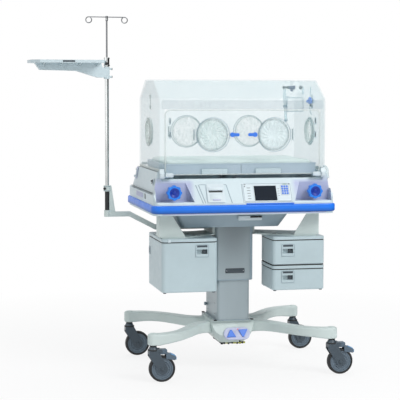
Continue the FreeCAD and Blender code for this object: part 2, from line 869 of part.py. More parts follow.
def knob_recess(grow):
    """Scooped bay in the sloping front that holds a handwheel, on the left."""
    g = grow
    x0, x1 = -recess_outer_x - g, -recess_inner_x + g
    top = deck_top
    scoop = profile_yz([
        (body_front - 20.0, recess_floor - g), (recess_wall_y + g, recess_floor - g),
        (recess_wall_y + g, top + 20.0), (body_front - 20.0, top + 20.0),
    ], x0, x1)
    rise = top + 20.0 - (recess_floor - g)
    cutter = profile_xz([
        (x1, recess_floor - g), (x1 + 1.0, recess_floor - g), (x1 + 1.0, top + 20.0),
        (x1 - recess_lean * rise / slope_rise, top + 20.0),
    ], body_front - 20.0, recess_wall_y + g)
    return scoop.cut(cutter)


def reservoir_tunnel(grow):
    x0, x1 = reservoir_x
    z0, z1 = reservoir_body_z
    g = grow
    return block(x0 + face_edge_margin - g, x1 - face_edge_margin + g, body_front - 5.0, reservoir_back + g,
                 z0 - g, z1 + g)


def main_housing():
    """Moulded shell: sloping front, deck tub, end shoulders, handwheel bays and reservoir tunnel."""
    w = housing_wall
    cavity = housing_block(w)
    cavity = cavity.cut(tub_block(w, tub_under))
    for mirrored in (False, True):
        bay = knob_recess(w)
        cavity = cavity.cut(mirror_x(bay) if mirrored else bay)
    cavity = cavity.cut(reservoir_tunnel(slide_clearance + w))
    shell = housing_block(0.0).cut(cavity).cut(tub_block(0.0, tub_floor))
    for side in (-1, 1):
        bay = knob_recess(0.0)
        shell = shell.cut(bay if side < 0 else mirror_x(bay))
        face = vec(side * knob_x, recess_wall_y, knob_z)
        boss = rod(face, vec(0, -1, 0), knob_boss_radius, knob_boss_length)
        bore_radius = knob_shaft_radius + shaft_clearance
        bore = rod(face + vec(0, w, 0), vec(0, -1, 0), bore_radius, knob_boss_length + w)
        shell = shell.fuse(boss).cut(bore)
    shell = shell.cut(reservoir_tunnel(slide_clearance)).cut(panel_slab(cover_gap * 0.5))
    for y in tilt_station_y:
        shell = joined(shell, *tilt_bearing(y))
    for side in (-1, 1):
        shell = shell.fuse(hood_hinge_seat(side))
    return shell.removeSplitter()


def tub_block(grow, floor):
    """The hollow under the bed, or the block that its walls and floor enclose."""
    x, y0, y1 = tub_half_x + grow, tub_front - grow, tub_back + grow
    return rounded_block(-x, x, y0, y1, floor, shoulder_top + 1.0, tub_corner + grow)


def tilt_bearing(y):
    """Two ears and a pin on the tub's floor that carry one of the bed's lugs."""
    start = y - tilt_lug_length / 2 - tilt_ear_gap - tilt_ear_thickness
    top = tilt_axis_z + tilt_pin_radius + 3.0
    foot, head = tilt_ear_foot, tilt_pin_radius + 4.0
    pieces = []
    for end in (start, y + tilt_lug_length / 2 + tilt_ear_gap):
        ear = profile_xz([(-foot, tub_floor), (foot, tub_floor), (head, top), (-head, top)],
                         end, end + tilt_ear_thickness)
        pieces.append(ear)
    pieces.append(rod(vec(0, start, tilt_axis_z), vec(0, 1, 0), tilt_pin_radius, 2 * (y - start)))
    return pieces


def hood_hinge_seat(side):
    """Bearing post behind the tub with a pin for one of the hood's knuckles."""
    x = side * hood_knuckle_x
    half = hood_knuckle_length / 2
    z = shoulder_top
    start = x - half - hinge_post_gap - hinge_post_thickness
    posts = []
    for end in (start, x + half + hinge_post_gap):
        post = profile_yz([
            (hood_hinge_y - 12.0, deck_top - 1.0), (hood_hinge_y + 11.0, deck_top - 1.0),
            (hood_hinge_y + 8.0, z + 8.0), (hood_hinge_y - 8.0, z + 8.0),
        ], end, end + hinge_post_thickness)
        posts.append(post)
    pin = rod(vec(start, hood_hinge_y, z), vec(1, 0, 0), hood_hinge_radius, 2 * (x - start))
    return joined(posts[0], posts[1], pin)


def bumper_rail():
    """Soft rail around the housing."""
    g = bumper_proud
    outer = rounded_block(-body_half_x - g, body_half_x + g, body_front - g, body_back + g, bumper_bottom,
                          bumper_bottom + bumper_height, bumper_corner)
    outer = round_edges(outer, bumper_round, lambda edge: edge.BoundBox.ZLength < 0.1)
    inner = rounded_block(-body_half_x, body_half_x, body_front, body_back, bumper_bottom - 1.0,
                          bumper_bottom + bumper_height + 1.0, body_corner)
    return outer.cut(inner)


def lower_pan():
    """Tapered sheet casing under the housing, with a rim that closes the housing's open bottom."""
    x0, x1 = pan_top_x
    d = pan_draft
    t = pan_wall
    top = body_bottom

    def taper(grow, z0, z1):
        g = grow
        low = rounded_wire(x0 + d - g, x1 - d + g, pan_front + d - g, pan_back - d + g, z0, pan_corner)
        high = rounded_wire(x0 - g, x1 + g, pan_front - g, pan_back + g, z1, pan_corner)
        return Part.makeLoft([low, high], True, True)

    pan = taper(0.0, pan_bottom, top).cut(taper(-t, pan_bottom + t, top))
    w = housing_wall + cover_gap
    rim = rounded_block(-body_half_x + w, body_half_x - w, body_front + w, body_back - w, top,
                        top + pan_rim_thickness, body_corner - w)
    hole_top = top + pan_rim_thickness + 1.0
    hole = rounded_block(x0 + t, x1 - t, pan_front + t, pan_back - t, top - 1.0, hole_top, pan_corner - t)
    half_beam = pan_beam_width / 2
    beams = [block(x0, x1, y - half_beam, y + half_beam, top, top + pan_beam_height) for y in pan_beam_y]
    x, y = sleeve_half_x + seat_gap, sleeve_half_y + seat_gap
    sleeve = rounded_block(-x, x, -y, y, pan_bottom - 1.0, top, sleeve_corner)
    return joined(pan, rim.cut(hole), *beams).cut(sleeve)


def tilt_knob(side):
    """Lobed handwheel with a dished face on a round shaft."""
    y0 = knob_front
    wheel = rod(vec(0, y0, 0), vec(0, 1, 0), knob_radius - knob_lobe_depth, knob_thickness)
    for i in range(knob_lobes):
        angle = 2 * math.pi * i / knob_lobes
        r = knob_radius - knob_lobe_depth * 2.2
        centre = vec(r * math.cos(angle), y0, r * math.sin(angle))
        lobe = rod(centre, vec(0, 1, 0), knob_radius - r, knob_thickness)
        wheel = wheel.fuse(lobe)
    dish_mouth, dish_floor = knob_radius * 0.6, knob_radius * 0.38
    dish = Part.makeCone(dish_mouth, dish_floor, knob_dish_depth, vec(0, y0, 0), vec(0, 1, 0))
    wheel = wheel.removeSplitter().cut(dish)
    back = y0 + knob_thickness
    hub = Part.makeCone(knob_radius * 0.8, knob_boss_radius, knob_hub_depth, vec(0, back, 0), vec(0, 1, 0))
    shaft_end = recess_wall_y + housing_wall + 4.0
    shaft = rod(vec(0, back, 0), vec(0, 1, 0), knob_shaft_radius, shaft_end - back)
    knob = joined(wheel, hub, shaft)
    knob.translate(vec(side * knob_x, 0, knob_z))
    return knob


def slope_start_y(z):
    return body_front + (z - front_lip_top) / math.tan(math.radians(slope_angle))


def panel_slab(grow):
    """Flat slab let into the slope and standing slightly proud of it."""
    x0, x1 = panel_x
    g = grow
    flat = rounded_block(x0 - g, x1 + g, panel_start - g, panel_start + panel_length + g, -panel_sink,
                         panel_proud, panel_corner)
    return slope_place(flat, body_front, front_lip_top)


def control_panel():
    """Panel with a recess for the display."""
    x0, x1 = screen_x
    start = panel_start + screen_start
    g = seat_gap
    recess = block(x0 - g, x1 + g, start - g, start + screen_length + g, panel_proud - screen_thickness,
                   panel_proud + 1.0)
    return panel_slab(0.0).cut(slope_place(recess, body_front, front_lip_top))


def display_screen():
    """Glass of the display, just below the panel's face."""
    x0, x1 = screen_x
    start = panel_start + screen_start
    back, face = panel_proud - screen_thickness, panel_proud - screen_sink
    glass = block(x0, x1, start, start + screen_length, back, face)
    return slope_place(glass, body_front, front_lip_top)


def keypad():
    """Membrane keys in rows and columns."""
    keys = []
    face = panel_proud + key_thickness
    for column in range(key_columns):
        for row in range(key_rows):
            x = key_x + column * key_pitch
            y = panel_start + key_start + row * key_pitch
            key = rounded_block(x, x + key_side, y, y + key_side, panel_proud, face, 2.0)
            keys.append(slope_place(key, body_front, front_lip_top))
    return keys


def water_reservoir():
    """Pull-out water tray with a face plate on the slope and a grip slot."""
    x0, x1 = reservoir_x
    z0, z1 = reservoir_body_z
    m = face_edge_margin
    w = reservoir_wall
    nose_y = slope_start_y(z0) + 6.0
    tray = block(x0 + m, x1 - m, nose_y, reservoir_back - 1.0, z0, z1)
    front_cut = profile_yz([
        (nose_y - 5.0, z0), (slope_start_y(z0) + 1.0, z0), (slope_start_y(z1) + 1.0, z1), (nose_y - 5.0, z1),
    ], x0, x1)
    tray = tray.cut(front_cut)
    hollow = block(x0 + m + w, x1 - m - w, slope_start_y(z1) + 14.0, reservoir_back - 1.0 - w, z0 + w, z1)
    tray = tray.cut(hollow)
    length = slope_rise / math.sin(math.radians(slope_angle)) * face_share
    face = rounded_block(x0, x1, face_start, face_start + length, seat_gap, reservoir_face_thickness, 5.0)
    middle = (x0 + x1) / 2
    slot = block(middle - slot_width / 2, middle + slot_width / 2, slot_start, slot_start + slot_height,
                 reservoir_face_thickness - slot_depth, reservoir_face_thickness)
    face = face.cut(slot)
    plug = block(x0 + m, x1 - m, 14.0, 50.0, -8.0, seat_gap)
    plug_limits = block(x0 + m, x1 - m, body_front - 20.0, reservoir_back, z0, z1)
    plug = slope_place(plug, body_front, front_lip_top).common(plug_limits)
    return joined(slope_place(face, body_front, front_lip_top), plug, tray)


def bed_tray():
    """Shallow bassinet with grips on its front and pivot lugs under its middle."""
    x, w = bed_half_x, bed_wall
    top = bed_bottom + bed_height
    outer = rounded_block(-x, x, bed_front, bed_back, bed_bottom, top, bed_corner)
    inner = rounded_block(-x + w, x - w, bed_front + w, bed_back - w, bed_bottom + w, top, bed_corner - w)
    tray = outer.cut(inner)
    for side in (-1, 1):
        middle = side * bed_pull_x
        grip_bottom = bed_bottom + bed_pull_rise
        grip = block(middle - bed_pull_length / 2, middle + bed_pull_length / 2, bed_front - bed_pull_depth,
                     bed_front, grip_bottom, grip_bottom + bed_pull_height)
        tray = tray.fuse(grip)
    for y in tilt_station_y:
        half = tilt_lug_length / 2
        lug = block(-tilt_lug_half_x, tilt_lug_half_x, y - half, y + half, tilt_axis_z - 12.0, bed_bottom)
        lug_start = vec(0, y - half, tilt_axis_z)
        bore = rod(lug_start, vec(0, 1, 0), tilt_pin_radius + shaft_clearance, tilt_lug_length)
        tray = tray.fuse(lug).cut(bore)
    return tray.removeSplitter()


def mattress():
    """Plain closed form of the pad, a little clear of the tray."""
    g = bed_wall + mattress_gap
    pad = rounded_block(-bed_half_x + g, bed_half_x - g, bed_front + g, bed_back - g,
                        bed_bottom + bed_wall + seat_gap, mattress_top, mattress_corner)
    return round_edges(pad, 8.0, lambda edge: edge.BoundBox.ZMin > mattress_top - 0.1)


def blower_motor():
    """Motor can on the pan's rear beam, with the fan's shaft on top."""
    x, y = blower_x, blower_y
    can_top = fan_bottom - motor_fan_gap
    can = rod(vec(x, y, beam_seat), vec(0, 0, 1), blower_motor_radius, can_top - beam_seat)
    half_beam = pan_beam_width / 2
    foot = blower_motor_radius + motor_foot_reach
    flange_top = beam_seat + motor_foot_thickness
    flange = block(x - foot, x + foot, y - half_beam, y + half_beam, beam_seat, flange_top)
    shaft = rod(vec(x, y, can_top - 1.0), vec(0, 0, 1), motor_shaft_radius, fan_height * 0.7)
    return joined(can, flange, shaft)


def blower_fan():
    """Radial fan: hub, back plate and curved blades."""
    hub = rod(vec(0, 0, 0), vec(0, 0, 1), fan_hub_radius, fan_height - 6.0)
    plate = rod(vec(0, 0, 0), vec(0, 0, 1), fan_radius, fan_plate_thickness)
    envelope = rod(vec(0, 0, 0), vec(0, 0, 1), fan_radius, fan_height)
    root = 2 * fan_hub_radius
    fan = hub.fuse(plate)
    for i in range(fan_blades):
        blade = block(root, fan_radius - 1.0, -1.0, 1.0, fan_plate_thickness - 0.5, fan_height)
        blade.rotate(vec(root, 0, 0), vec(0, 0, 1), fan_blade_sweep)
        blade = blade.common(envelope)
        blade.rotate(vec(0, 0, 0), vec(0, 0, 1), 360.0 * i / fan_blades)
        fan = fan.fuse(blade)
    bore = rod(vec(0, 0, 0), vec(0, 0, 1), motor_shaft_radius + shaft_clearance, fan_height)
    fan = fan.removeSplitter().cut(bore)
    fan.translate(vec(blower_x, blower_y, fan_bottom))
    return fan


def heater_ring():
    """Tubular heating element round the fan, on two feet."""
    ring_z = fan_bottom + heater_rise
    ring = Part.makeTorus(heater_radius, heater_tube_radius, vec(blower_x, blower_y, ring_z))
    for side in (-1, 1):
        base = vec(blower_x + side * heater_radius, blower_y, beam_seat)
        ring = ring.fuse(rod(base, vec(0, 0, 1), heater_foot_radius, ring_z - beam_seat))
    return ring


def hood_profile(inset, drop):
    """Outline of the hood seen from its end: upright walls and two sloping upper panels."""
    w = inset
    lean = math.atan2(hood_top - hood_wall_top, hood_chamfer)
    wall_top = hood_wall_top - w * math.tan(lean / 2)
    shift = w * math.tan(lean / 2)
    return [
        (hood_front + w, shoulder_top + seat_gap - drop), (hood_front + w, wall_top),
        (hood_front + hood_chamfer + shift, hood_top - w), (hood_back - hood_chamfer - shift, hood_top - w),
        (hood_back - w, wall_top), (hood_back - w, shoulder_top + seat_gap - drop),
    ]


def bent(shape, radius):
    """Round the four long bends of a hood form."""
    def is_bend(edge):
        box = edge.BoundBox
        level = box.ZLength < 0.1 and box.YLength < 0.1
        return level and box.XLength > hood_half_x and box.ZMin > door_bottom + 50.0
    return round_edges(shape, radius, is_bend)


def port_hole(x, y, z, radius, direction):
    return rod(vec(x, y, z), direction, radius, 40.0)


def hood_shell():
    """Clear canopy with a doorway in front, hand ports behind and at both ends."""
    outer = bent(profile_yz(hood_profile(0.0, 0.0), -hood_half_x, hood_half_x), hood_bend)
    x = hood_half_x - hood_sheet
    inner = bent(profile_yz(hood_profile(hood_sheet, 1.0), -x, x), hood_bend - hood_sheet)
    shell = outer.cut(inner)
    gap = door_half_x + cover_gap
    doorway = block(-gap, gap, hood_front - 1.0, hood_front + hood_sheet + 1.0, shoulder_top - 5.0,
                    door_top + cover_gap)
    shell = shell.cut(doorway)
    for side in (-1, 1):
        port_x, wall_y = side * rear_port_x, hood_back - 20.0
        shell = shell.cut(port_hole(port_x, wall_y, port_z, port_hole_radius, vec(0, 1, 0)))
        middle = (hood_front + hood_back) / 2
        wall_x = side * (hood_half_x - 20.0)
        shell = shell.cut(port_hole(wall_x, middle, end_port_z, end_port_hole_radius, vec(side, 0, 0)))
        x0 = side * hood_knuckle_x - hood_knuckle_length / 2
        start = vec(x0, hood_hinge_y, shoulder_top)
        knuckle = rod(start, vec(1, 0, 0), hood_knuckle_radius, hood_knuckle_length)
        inner_y, low = hood_back - hood_sheet, shoulder_top + seat_gap
        web = block(x0, x0 + hood_knuckle_length, inner_y, hood_hinge_y, low, shoulder_top + 10.0)
        bore = rod(start, vec(1, 0, 0), hood_hinge_radius + shaft_clearance, hood_knuckle_length)
        shell = joined(shell, knuckle, web).cut(bore)
        pillar = port_hinge_pillar(side * rear_port_x, side, hood_back, 1)
        shell = shell.fuse(pillar)
    return shell.removeSplitter()


def port_hinge_pillar(centre_x, side, face_y, outward):
    """Two small ears and a pin that carry a port door at its outer side."""
    x = centre_x + side * port_hinge_offset
    y = face_y + outward * (port_hinge_radius + port_hinge_standoff)
    half = port_hinge_half_height + port_ear_gap
    height = port_ear_height
    pieces = []
    for z in (port_z - half - height, port_z + half):
        ear = rod(vec(x, y, z), vec(0, 0, 1), port_hinge_radius, height)
        y0, y1 = sorted((face_y, y))
        web = block(x - port_hinge_radius, x + port_hinge_radius, y0, y1, z, z + height)
        pieces.append(ear.fuse(web))
    pin = rod(vec(x, y, port_z - half - height / 2), vec(0, 0, 1), port_pin_radius, 2 * half + height)
    return joined(pieces[0], pieces[1], pin)


def port_door(centre_x, side, face_y, outward):
    """Round port cover with a rim, and a hinge barrel on its outer side."""
    o = outward
    gap = seat_gap
    start = face_y + o * gap
    disc = rod(vec(centre_x, start, port_z), vec(0, o, 0), port_door_radius, port_door_thickness)
    rim_start = start + o * port_door_thickness
    rim = rod(vec(centre_x, rim_start, port_z), vec(0, o, 0), port_door_radius, port_rim_height)
    rim = rim.cut(rod(vec(centre_x, rim_start, port_z), vec(0, o, 0), port_door_radius - port_rim_width,
                      port_rim_height))
    x = centre_x + side * port_hinge_offset
    y = face_y + o * (port_hinge_radius + port_hinge_standoff)
    half = port_hinge_half_height
    barrel = rod(vec(x, y, port_z - half), vec(0, 0, 1), port_hinge_radius, 2 * half)
    x0, x1 = sorted((x, centre_x + side * (port_door_radius - 6.0)))
    y0, y1 = sorted((y - o * 3.0, y + o * 2.0))
    web = block(x0, x1, y0, y1, port_z - half, port_z + half)
    cover = joined(disc, rim, barrel, web)
    bore = rod(vec(x, y, port_z - half), vec(0, 0, 1), port_pin_radius + shaft_clearance, 2 * half)
    return cover.cut(bore)


def latch_place(side):
    return side * (front_port_x - port_door_radius - latch_base_radius - 1.5)


def port_latch(side):
    """Turn button with a lever that keeps a port door shut."""
    x = latch_place(side)
    front = hood_front - latch_standoff - seat_gap
    base = rod(vec(x, front, port_z), vec(0, -1, 0), latch_base_radius, latch_base_depth)
    x0, x1 = sorted((x, x - side * latch_lever_length))
    half = latch_lever_width / 2
    lever = block(x0, x1, front - latch_base_depth, front - latch_base_depth + latch_lever_thickness,
                  port_z - half, port_z + half)
    tip = x - side * latch_lever_length
    lever = round_edges(lever, half - 1.0, lambda edge: edge.BoundBox.YLength > latch_lever_thickness - 0.1
                        and abs(edge.BoundBox.XMin - tip) < 0.1)
    bore_depth = latch_base_depth - 3.0
    bore = rod(vec(x, front, port_z), vec(0, -1, 0), latch_pin_radius + shaft_clearance, bore_depth)
    return joined(base, lever).cut(bore)


def front_door():
    """Fold-down clear door with two hand ports, latch posts and hinge lugs at its foot."""
    z0, z1 = door_bottom, door_top
    plate = block(-door_half_x, door_half_x, hood_front, hood_front + hood_sheet, z0, z1)
    plate = round_edges(plate, door_corner, lambda edge: edge.BoundBox.YLength > hood_sheet - 0.1
                        and edge.BoundBox.ZMin > z1 - 1)
    for side in (-1, 1):
        port_x = side * front_port_x
        plate = plate.cut(port_hole(port_x, hood_front - 10.0, port_z, port_hole_radius, vec(0, 1, 0)))
        plate = plate.fuse(port_hinge_pillar(port_x, side, hood_front, -1))
        x = latch_place(side)
        seat = rod(vec(x, hood_front, port_z), vec(0, -1, 0), latch_base_radius, latch_standoff)
        pin = rod(vec(x, hood_front, port_z), vec(0, -1, 0), latch_pin_radius,
                  latch_standoff + latch_base_depth - 3.5)
        plate = plate.fuse(seat).fuse(pin)
        plate = plate.fuse(door_lug(side))
    return plate.removeSplitter()


def hinge_knuckle(x0, x1, inner_y, top):
    """Barrel on the door's hinge line with an arm that rises to the sheet behind it."""
    y, z, r = door_hinge_y, door_hinge_z, door_barrel_radius
    barrel = rod(vec(x0, y, z), vec(1, 0, 0), r, x1 - x0)
    arm = profile_yz([
        (y - r, z), (y, z - 4.0), (inner_y, door_bottom), (inner_y, top), (hood_front - 6.0, top),
        (y - r, z + 6.0),
    ], x0, x1)
    return joined(barrel, arm)


def door_lug(side):
    """Hinge knuckle on the door's lower corner."""
    x0, x1 = sorted((side * door_half_x, side * (door_half_x - door_lug_length)))
    lug = hinge_knuckle(x0, x1, hood_front + hood_sheet, door_bottom + door_lug_height)
    bore_radius = door_pin_radius + shaft_clearance
    return lug.cut(rod(vec(x0, door_hinge_y, door_hinge_z), vec(1, 0, 0), bore_radius, x1 - x0))


def door_hinge_blocks():
    """Blocks on the hood's front posts with the pins that the door turns on."""
    x0, x1 = hinge_block_x
    start = vec(x0 - door_pin_reach, door_hinge_y, door_hinge_z)
    pin = rod(start, vec(1, 0, 0), door_pin_radius, door_pin_reach)
    right = joined(hinge_knuckle(x0, x1, hood_front, hinge_block_top), pin)
    return [right, mirror_x(right)]


def end_port_rings():
    """Iris rings seated in the holes of the hood's end walls."""
    middle = (hood_front + hood_back) / 2
    x = hood_half_x
    start = vec(x - hood_sheet - 4.0, middle, end_port_z)
    flange = rod(vec(x, middle, end_port_z), vec(1, 0, 0), end_port_radius, end_port_flange)
    neck = rod(start, vec(1, 0, 0), end_port_hole_radius, end_port_ring_depth + 4.0)
    throat = end_port_hole_radius - end_port_wall
    bore = rod(start - vec(1, 0, 0), vec(1, 0, 0), throat, end_port_ring_depth + 10.0)
    ring = joined(flange, neck).cut(bore)
    return [ring, mirror_x(ring)]


def iv_arm():
    """Square tube arm from the column to the pole, with a boss, a fin and a collar round the pole's foot."""
    s = pole_arm_side / 2
    high, low = pole_arm_z, pole_arm_low_z
    knee, heel = pole_arm_knee_x, pole_arm_heel_x
    line = [
        (pole_x, high + s), (knee, high + s), (heel, low + s), (pole_arm_end_x, low + s),
        (pole_arm_end_x, low - s), (heel - 6.0, low - s), (knee - 6.0, high - s), (pole_x, high - s),
    ]
    tube = profile_xz(line, pole_arm_y - s, pole_arm_y + s)
    boss_bottom = high - s
    boss_height = 2 * s + foot_boss_height
    boss = rod(vec(pole_x, pole_arm_y, boss_bottom), vec(0, 0, 1), foot_boss_radius, boss_height)
    collar_z0, collar_z1 = foot_collar_z
    collar_foot = vec(pole_x, pole_arm_y, collar_z0)
    collar = rod(collar_foot, vec(0, 0, 1), foot_collar_radius, collar_z1 - collar_z0)
    fin_x = pole_x + pole_radius + seat_gap
    fin = profile_xz([
        (fin_x, high), (pole_x + fin_foot_length, high), (pole_x + fin_foot_length, high + s),
        (pole_x + fin_top_length, collar_z1), (fin_x, collar_z1),
    ], pole_arm_y - fin_half_width, pole_arm_y + fin_half_width)
    bore = rod(vec(pole_x, pole_arm_y, pole_bottom), vec(0, 0, 1), pole_radius, collar_z1)
    return joined(tube, boss, collar, fin).cut(bore)


def iv_pole():
    """Chromed tube with a telescoping collar on top."""
    foot = vec(pole_x, pole_arm_y, pole_bottom)
    height = pole_top - pole_bottom
    hollow = rod(foot, vec(0, 0, 1), pole_bore_radius, height)
    tube = rod(foot, vec(0, 0, 1), pole_radius, height).cut(hollow)
    collar_foot = vec(pole_x, pole_arm_y, pole_top - collar_height)
    collar = rod(collar_foot, vec(0, 0, 1), collar_radius, collar_height)
    throat = rod(collar_foot, vec(0, 0, 1), rod_radius + shaft_clearance, collar_height)
    return joined(tube, collar).cut(throat)


def iv_rod():
    return rod(vec(pole_x, pole_arm_y, rod_bottom), vec(0, 0, 1), rod_radius, rod_top - rod_bottom)


def hook_bar():
    """Crossbar with an open pigtail ring at each end, and the socket that turns on the rod."""
    z = hook_bar_z
    r = hook_wire_radius
    bar = rod(vec(pole_x - hook_half_length, pole_arm_y, z), vec(1, 0, 0), r, 2 * hook_half_length)
    foot = vec(pole_x, pole_arm_y, hook_socket_wall_top - hook_socket_height)
    socket = rod(foot, vec(0, 0, 1), hook_socket_radius, hook_socket_height)
    bore = rod(foot, vec(0, 0, 1), rod_radius + shaft_clearance, rod_top - foot.z + 0.5)
    centre = vec(pole_x + hook_half_length, pole_arm_y, z - hook_ring_radius)
    ring = Part.makeTorus(hook_ring_radius, r, centre, vec(0, -1, 0), 0, 360, hook_ring_sweep)
    angle = math.degrees(math.atan2(ring.CenterOfMass.z - centre.z, ring.CenterOfMass.x - centre.x))
    gap_at = 90.0 + (360.0 - hook_ring_sweep) / 2
    ring.rotate(centre, vec(0, 1, 0), angle - (gap_at - 180.0))
    other = ring.mirror(vec(pole_x, 0, 0), vec(1, 0, 0))
    return joined(bar, socket, ring, other).cut(bore)


def shelf_outline(inset):
    """Plan of the shelf, with a nose that narrows away from the pole."""
    g = inset
    near = pole_x - shelf_gap - g
    far = shelf_tip_x + g
    half = shelf_half_depth - g
    return [
        (near, -half), (near, half), (far + shelf_nose, half), (far, half * 0.62), (far, -half * 0.62),
        (far + shelf_nose, -half),
    ]


def shelf_beam(floor_z, low):
    """Tapered beam under the shelf, deep at the clamp and thin at the nose."""
    near = pole_x - shelf_gap
    far = shelf_tip_x + shelf_skirt_inset
    neck_top = clamp_top - beam_shoulder
    side = profile_xz([
        (pole_x, neck_top), (near + 8.0, neck_top), (near, floor_z), (far, floor_z), (far + 10.0, low),
        (far + 24.0, beam_tip_bottom), (pole_x - beam_taper_reach, beam_tip_bottom - 4.0),
        (pole_x - beam_swell_reach, beam_root_bottom), (pole_x, beam_root_bottom),
    ], -beam_half_width, beam_half_width)
    root_x = pole_x - 2 * beam_half_width
    half, tip_half = beam_half_width, beam_half_width * 0.8
    plan = profile_xy([
        (pole_x, -clamp_radius), (root_x, -half), (shelf_tip_x, -tip_half), (shelf_tip_x, tip_half),
        (root_x, half), (pole_x, clamp_radius),
    ], clamp_bottom, shelf_rim_z)
    return side.common(plan)


def clamp_knob(z):
    """Knob of a clamp screw, on the side of the sleeve away from the shelf."""
    start = pole_x + clamp_radius
    screw = rod(vec(start - 2.0, pole_arm_y, z), vec(1, 0, 0), clamp_screw_radius, 2.0 + clamp_screw_reach)
    seat = vec(start + clamp_screw_reach, pole_arm_y, z)
    grip = rod(seat, vec(1, 0, 0), clamp_knob_radius, clamp_knob_length)
    return screw.fuse(grip)


def iv_tray():
    """Rimmed shelf on ribs, a tapered beam and a clamp sleeve round the pole."""
    floor_z = shelf_rim_z - shelf_rim_height
    pan = profile_xy(shelf_outline(0.0), floor_z, shelf_rim_z)
    pan = pan.cut(profile_xy(shelf_outline(shelf_rim_width), floor_z + shelf_floor, shelf_rim_z))
    low = floor_z - shelf_rib_height
    first = pole_x - shelf_gap - shelf_rib_start
    last = shelf_tip_x + shelf_skirt_inset + shelf_rib_end
    rib_half = shelf_half_depth - shelf_rib_inset
    pieces = [pan, shelf_beam(floor_z, low)]
    for i in range(shelf_ribs):
        x = first + i * (last - first) / (shelf_ribs - 1)
        rib = profile_yz([
            (-rib_half, floor_z), (-beam_half_width, low), (beam_half_width, low), (rib_half, floor_z),
        ], x - shelf_rib_thickness, x)
        pieces.append(rib)
    foot = vec(pole_x, pole_arm_y, clamp_bottom)
    height = clamp_top - clamp_bottom
    pieces.append(rod(foot, vec(0, 0, 1), clamp_radius, height))
    middle = (clamp_bottom + clamp_top) / 2
    for z in (middle - clamp_knob_spacing / 2, middle + clamp_knob_spacing / 2):
        pieces.append(clamp_knob(z))
    return joined(*pieces).cut(rod(foot, vec(0, 0, 1), pole_radius + shaft_clearance, height))


def build_casters():
    fork = caster_fork()
    braked_fork = joined(fork, *brake_ears())
    tyre = caster_tyre()
    core = caster_hub()
    lever = brake_lever()
    for name, side_x, side_y in (("front_left", -1, -1), ("front_right", 1, -1),
                                 ("back_left", -1, 1), ("back_right", 1, 1)):
        save("caster_fork_" + name, at_caster(braked_fork if side_y < 0 else fork, side_x, side_y))
        save("caster_tyre_" + name, at_caster(tyre, side_x, side_y))
        save("caster_hub_" + name, at_caster(core, side_x, side_y))
        if side_y < 0:
            save("brake_lever_" + name, at_caster(lever, side_x, side_y))


def build_base():
    arm = leg()
    save("leg_front_left", arm)
    save("leg_front_right", mirror_x(leg()))
    save("leg_back_left", mirror_y(leg()))
    save("leg_back_right", mirror_x(mirror_y(leg())))
    save("base_hub", base_hub())
    save("lower_column", lower_column())
    save("pedal_plate", pedal_plate())
    save("pedal_up", pedal(-1))
    save("pedal_down", pedal(1))


def build_stand():
    left0, left1 = left_cabinet_x
    right0, right1 = right_cabinet_x
    depth = right_cabinet_depth - cabinet_back_thickness - cover_gap
    lower_top = shelf_bottom - lid_gap
    drop_left, drop_upper, drop_lower = pull_drops
    left_pull = left1 - pull_offset - pull_width
    right_pull = right0 + pull_offset
    save("upper_column", upper_column())
    save("cross_arm", *cross_arm())
    save("cabinet_brackets", *cabinet_brackets())
    save("cabinet_lid_left", cabinet_lid_left())
    save("cabinet_lid_right", cabinet_lid_right())
    save("drawer_left", drawer_bin(left0, left1, left_cabinet_depth, left_bin_bottom, bin_top,
                                   left_pull, bin_top - drop_left))
    save("drawer_right_upper", drawer_bin(right0, right1, depth, shelf_top + lid_gap, bin_top,
                                          right_pull, bin_top - drop_upper))
    save("drawer_right_lower", drawer_bin(right0, right1, depth, right_bin_bottom, lower_top,
                                          right_pull, lower_top - drop_lower))


def build_body():
    save("main_housing", main_housing())
    save("bumper_rail", bumper_rail())
    save("lower_pan", lower_pan())
    save("control_panel", control_panel())
    save("display_screen", display_screen())
    save("keypad", *keypad())
    save("water_reservoir", water_reservoir())
    save("tilt_knob_left", tilt_knob(-1))
    save("tilt_knob_right", tilt_knob(1))
    save("blower_motor", blower_motor())
    save("blower_fan", blower_fan())
    save("heater_ring", heater_ring())
    save("bed_tray", bed_tray())
    save("mattress", mattress())


def build_hood():
    save("hood_shell", hood_shell())
    save("front_door", front_door())
    save("door_hinge_blocks", *door_hinge_blocks())
    save("end_port_rings", *end_port_rings())
    for name, side in (("left", -1), ("right", 1)):
        save("port_door_front_" + name, port_door(side * front_port_x, side, hood_front, -1))
        save("port_door_rear_" + name, port_door(side * rear_port_x, side, hood_back, 1))
        save("port_latch_" + name, port_latch(side))


def build_pole():
    save("iv_arm", iv_arm())
    save("iv_pole", iv_pole())
    save("iv_rod", iv_rod())
    save("hook_bar", hook_bar())
    save("iv_tray", iv_tray())


build_casters()
build_base()
build_stand()
build_body()
build_hood()
build_pole()
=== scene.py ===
import math

import bmesh
import bpy
from bpy.props import FloatProperty, FloatVectorProperty, PointerProperty
from mathutils import Color, Matrix, Vector
from mathutils.bvhtree import BVHTree


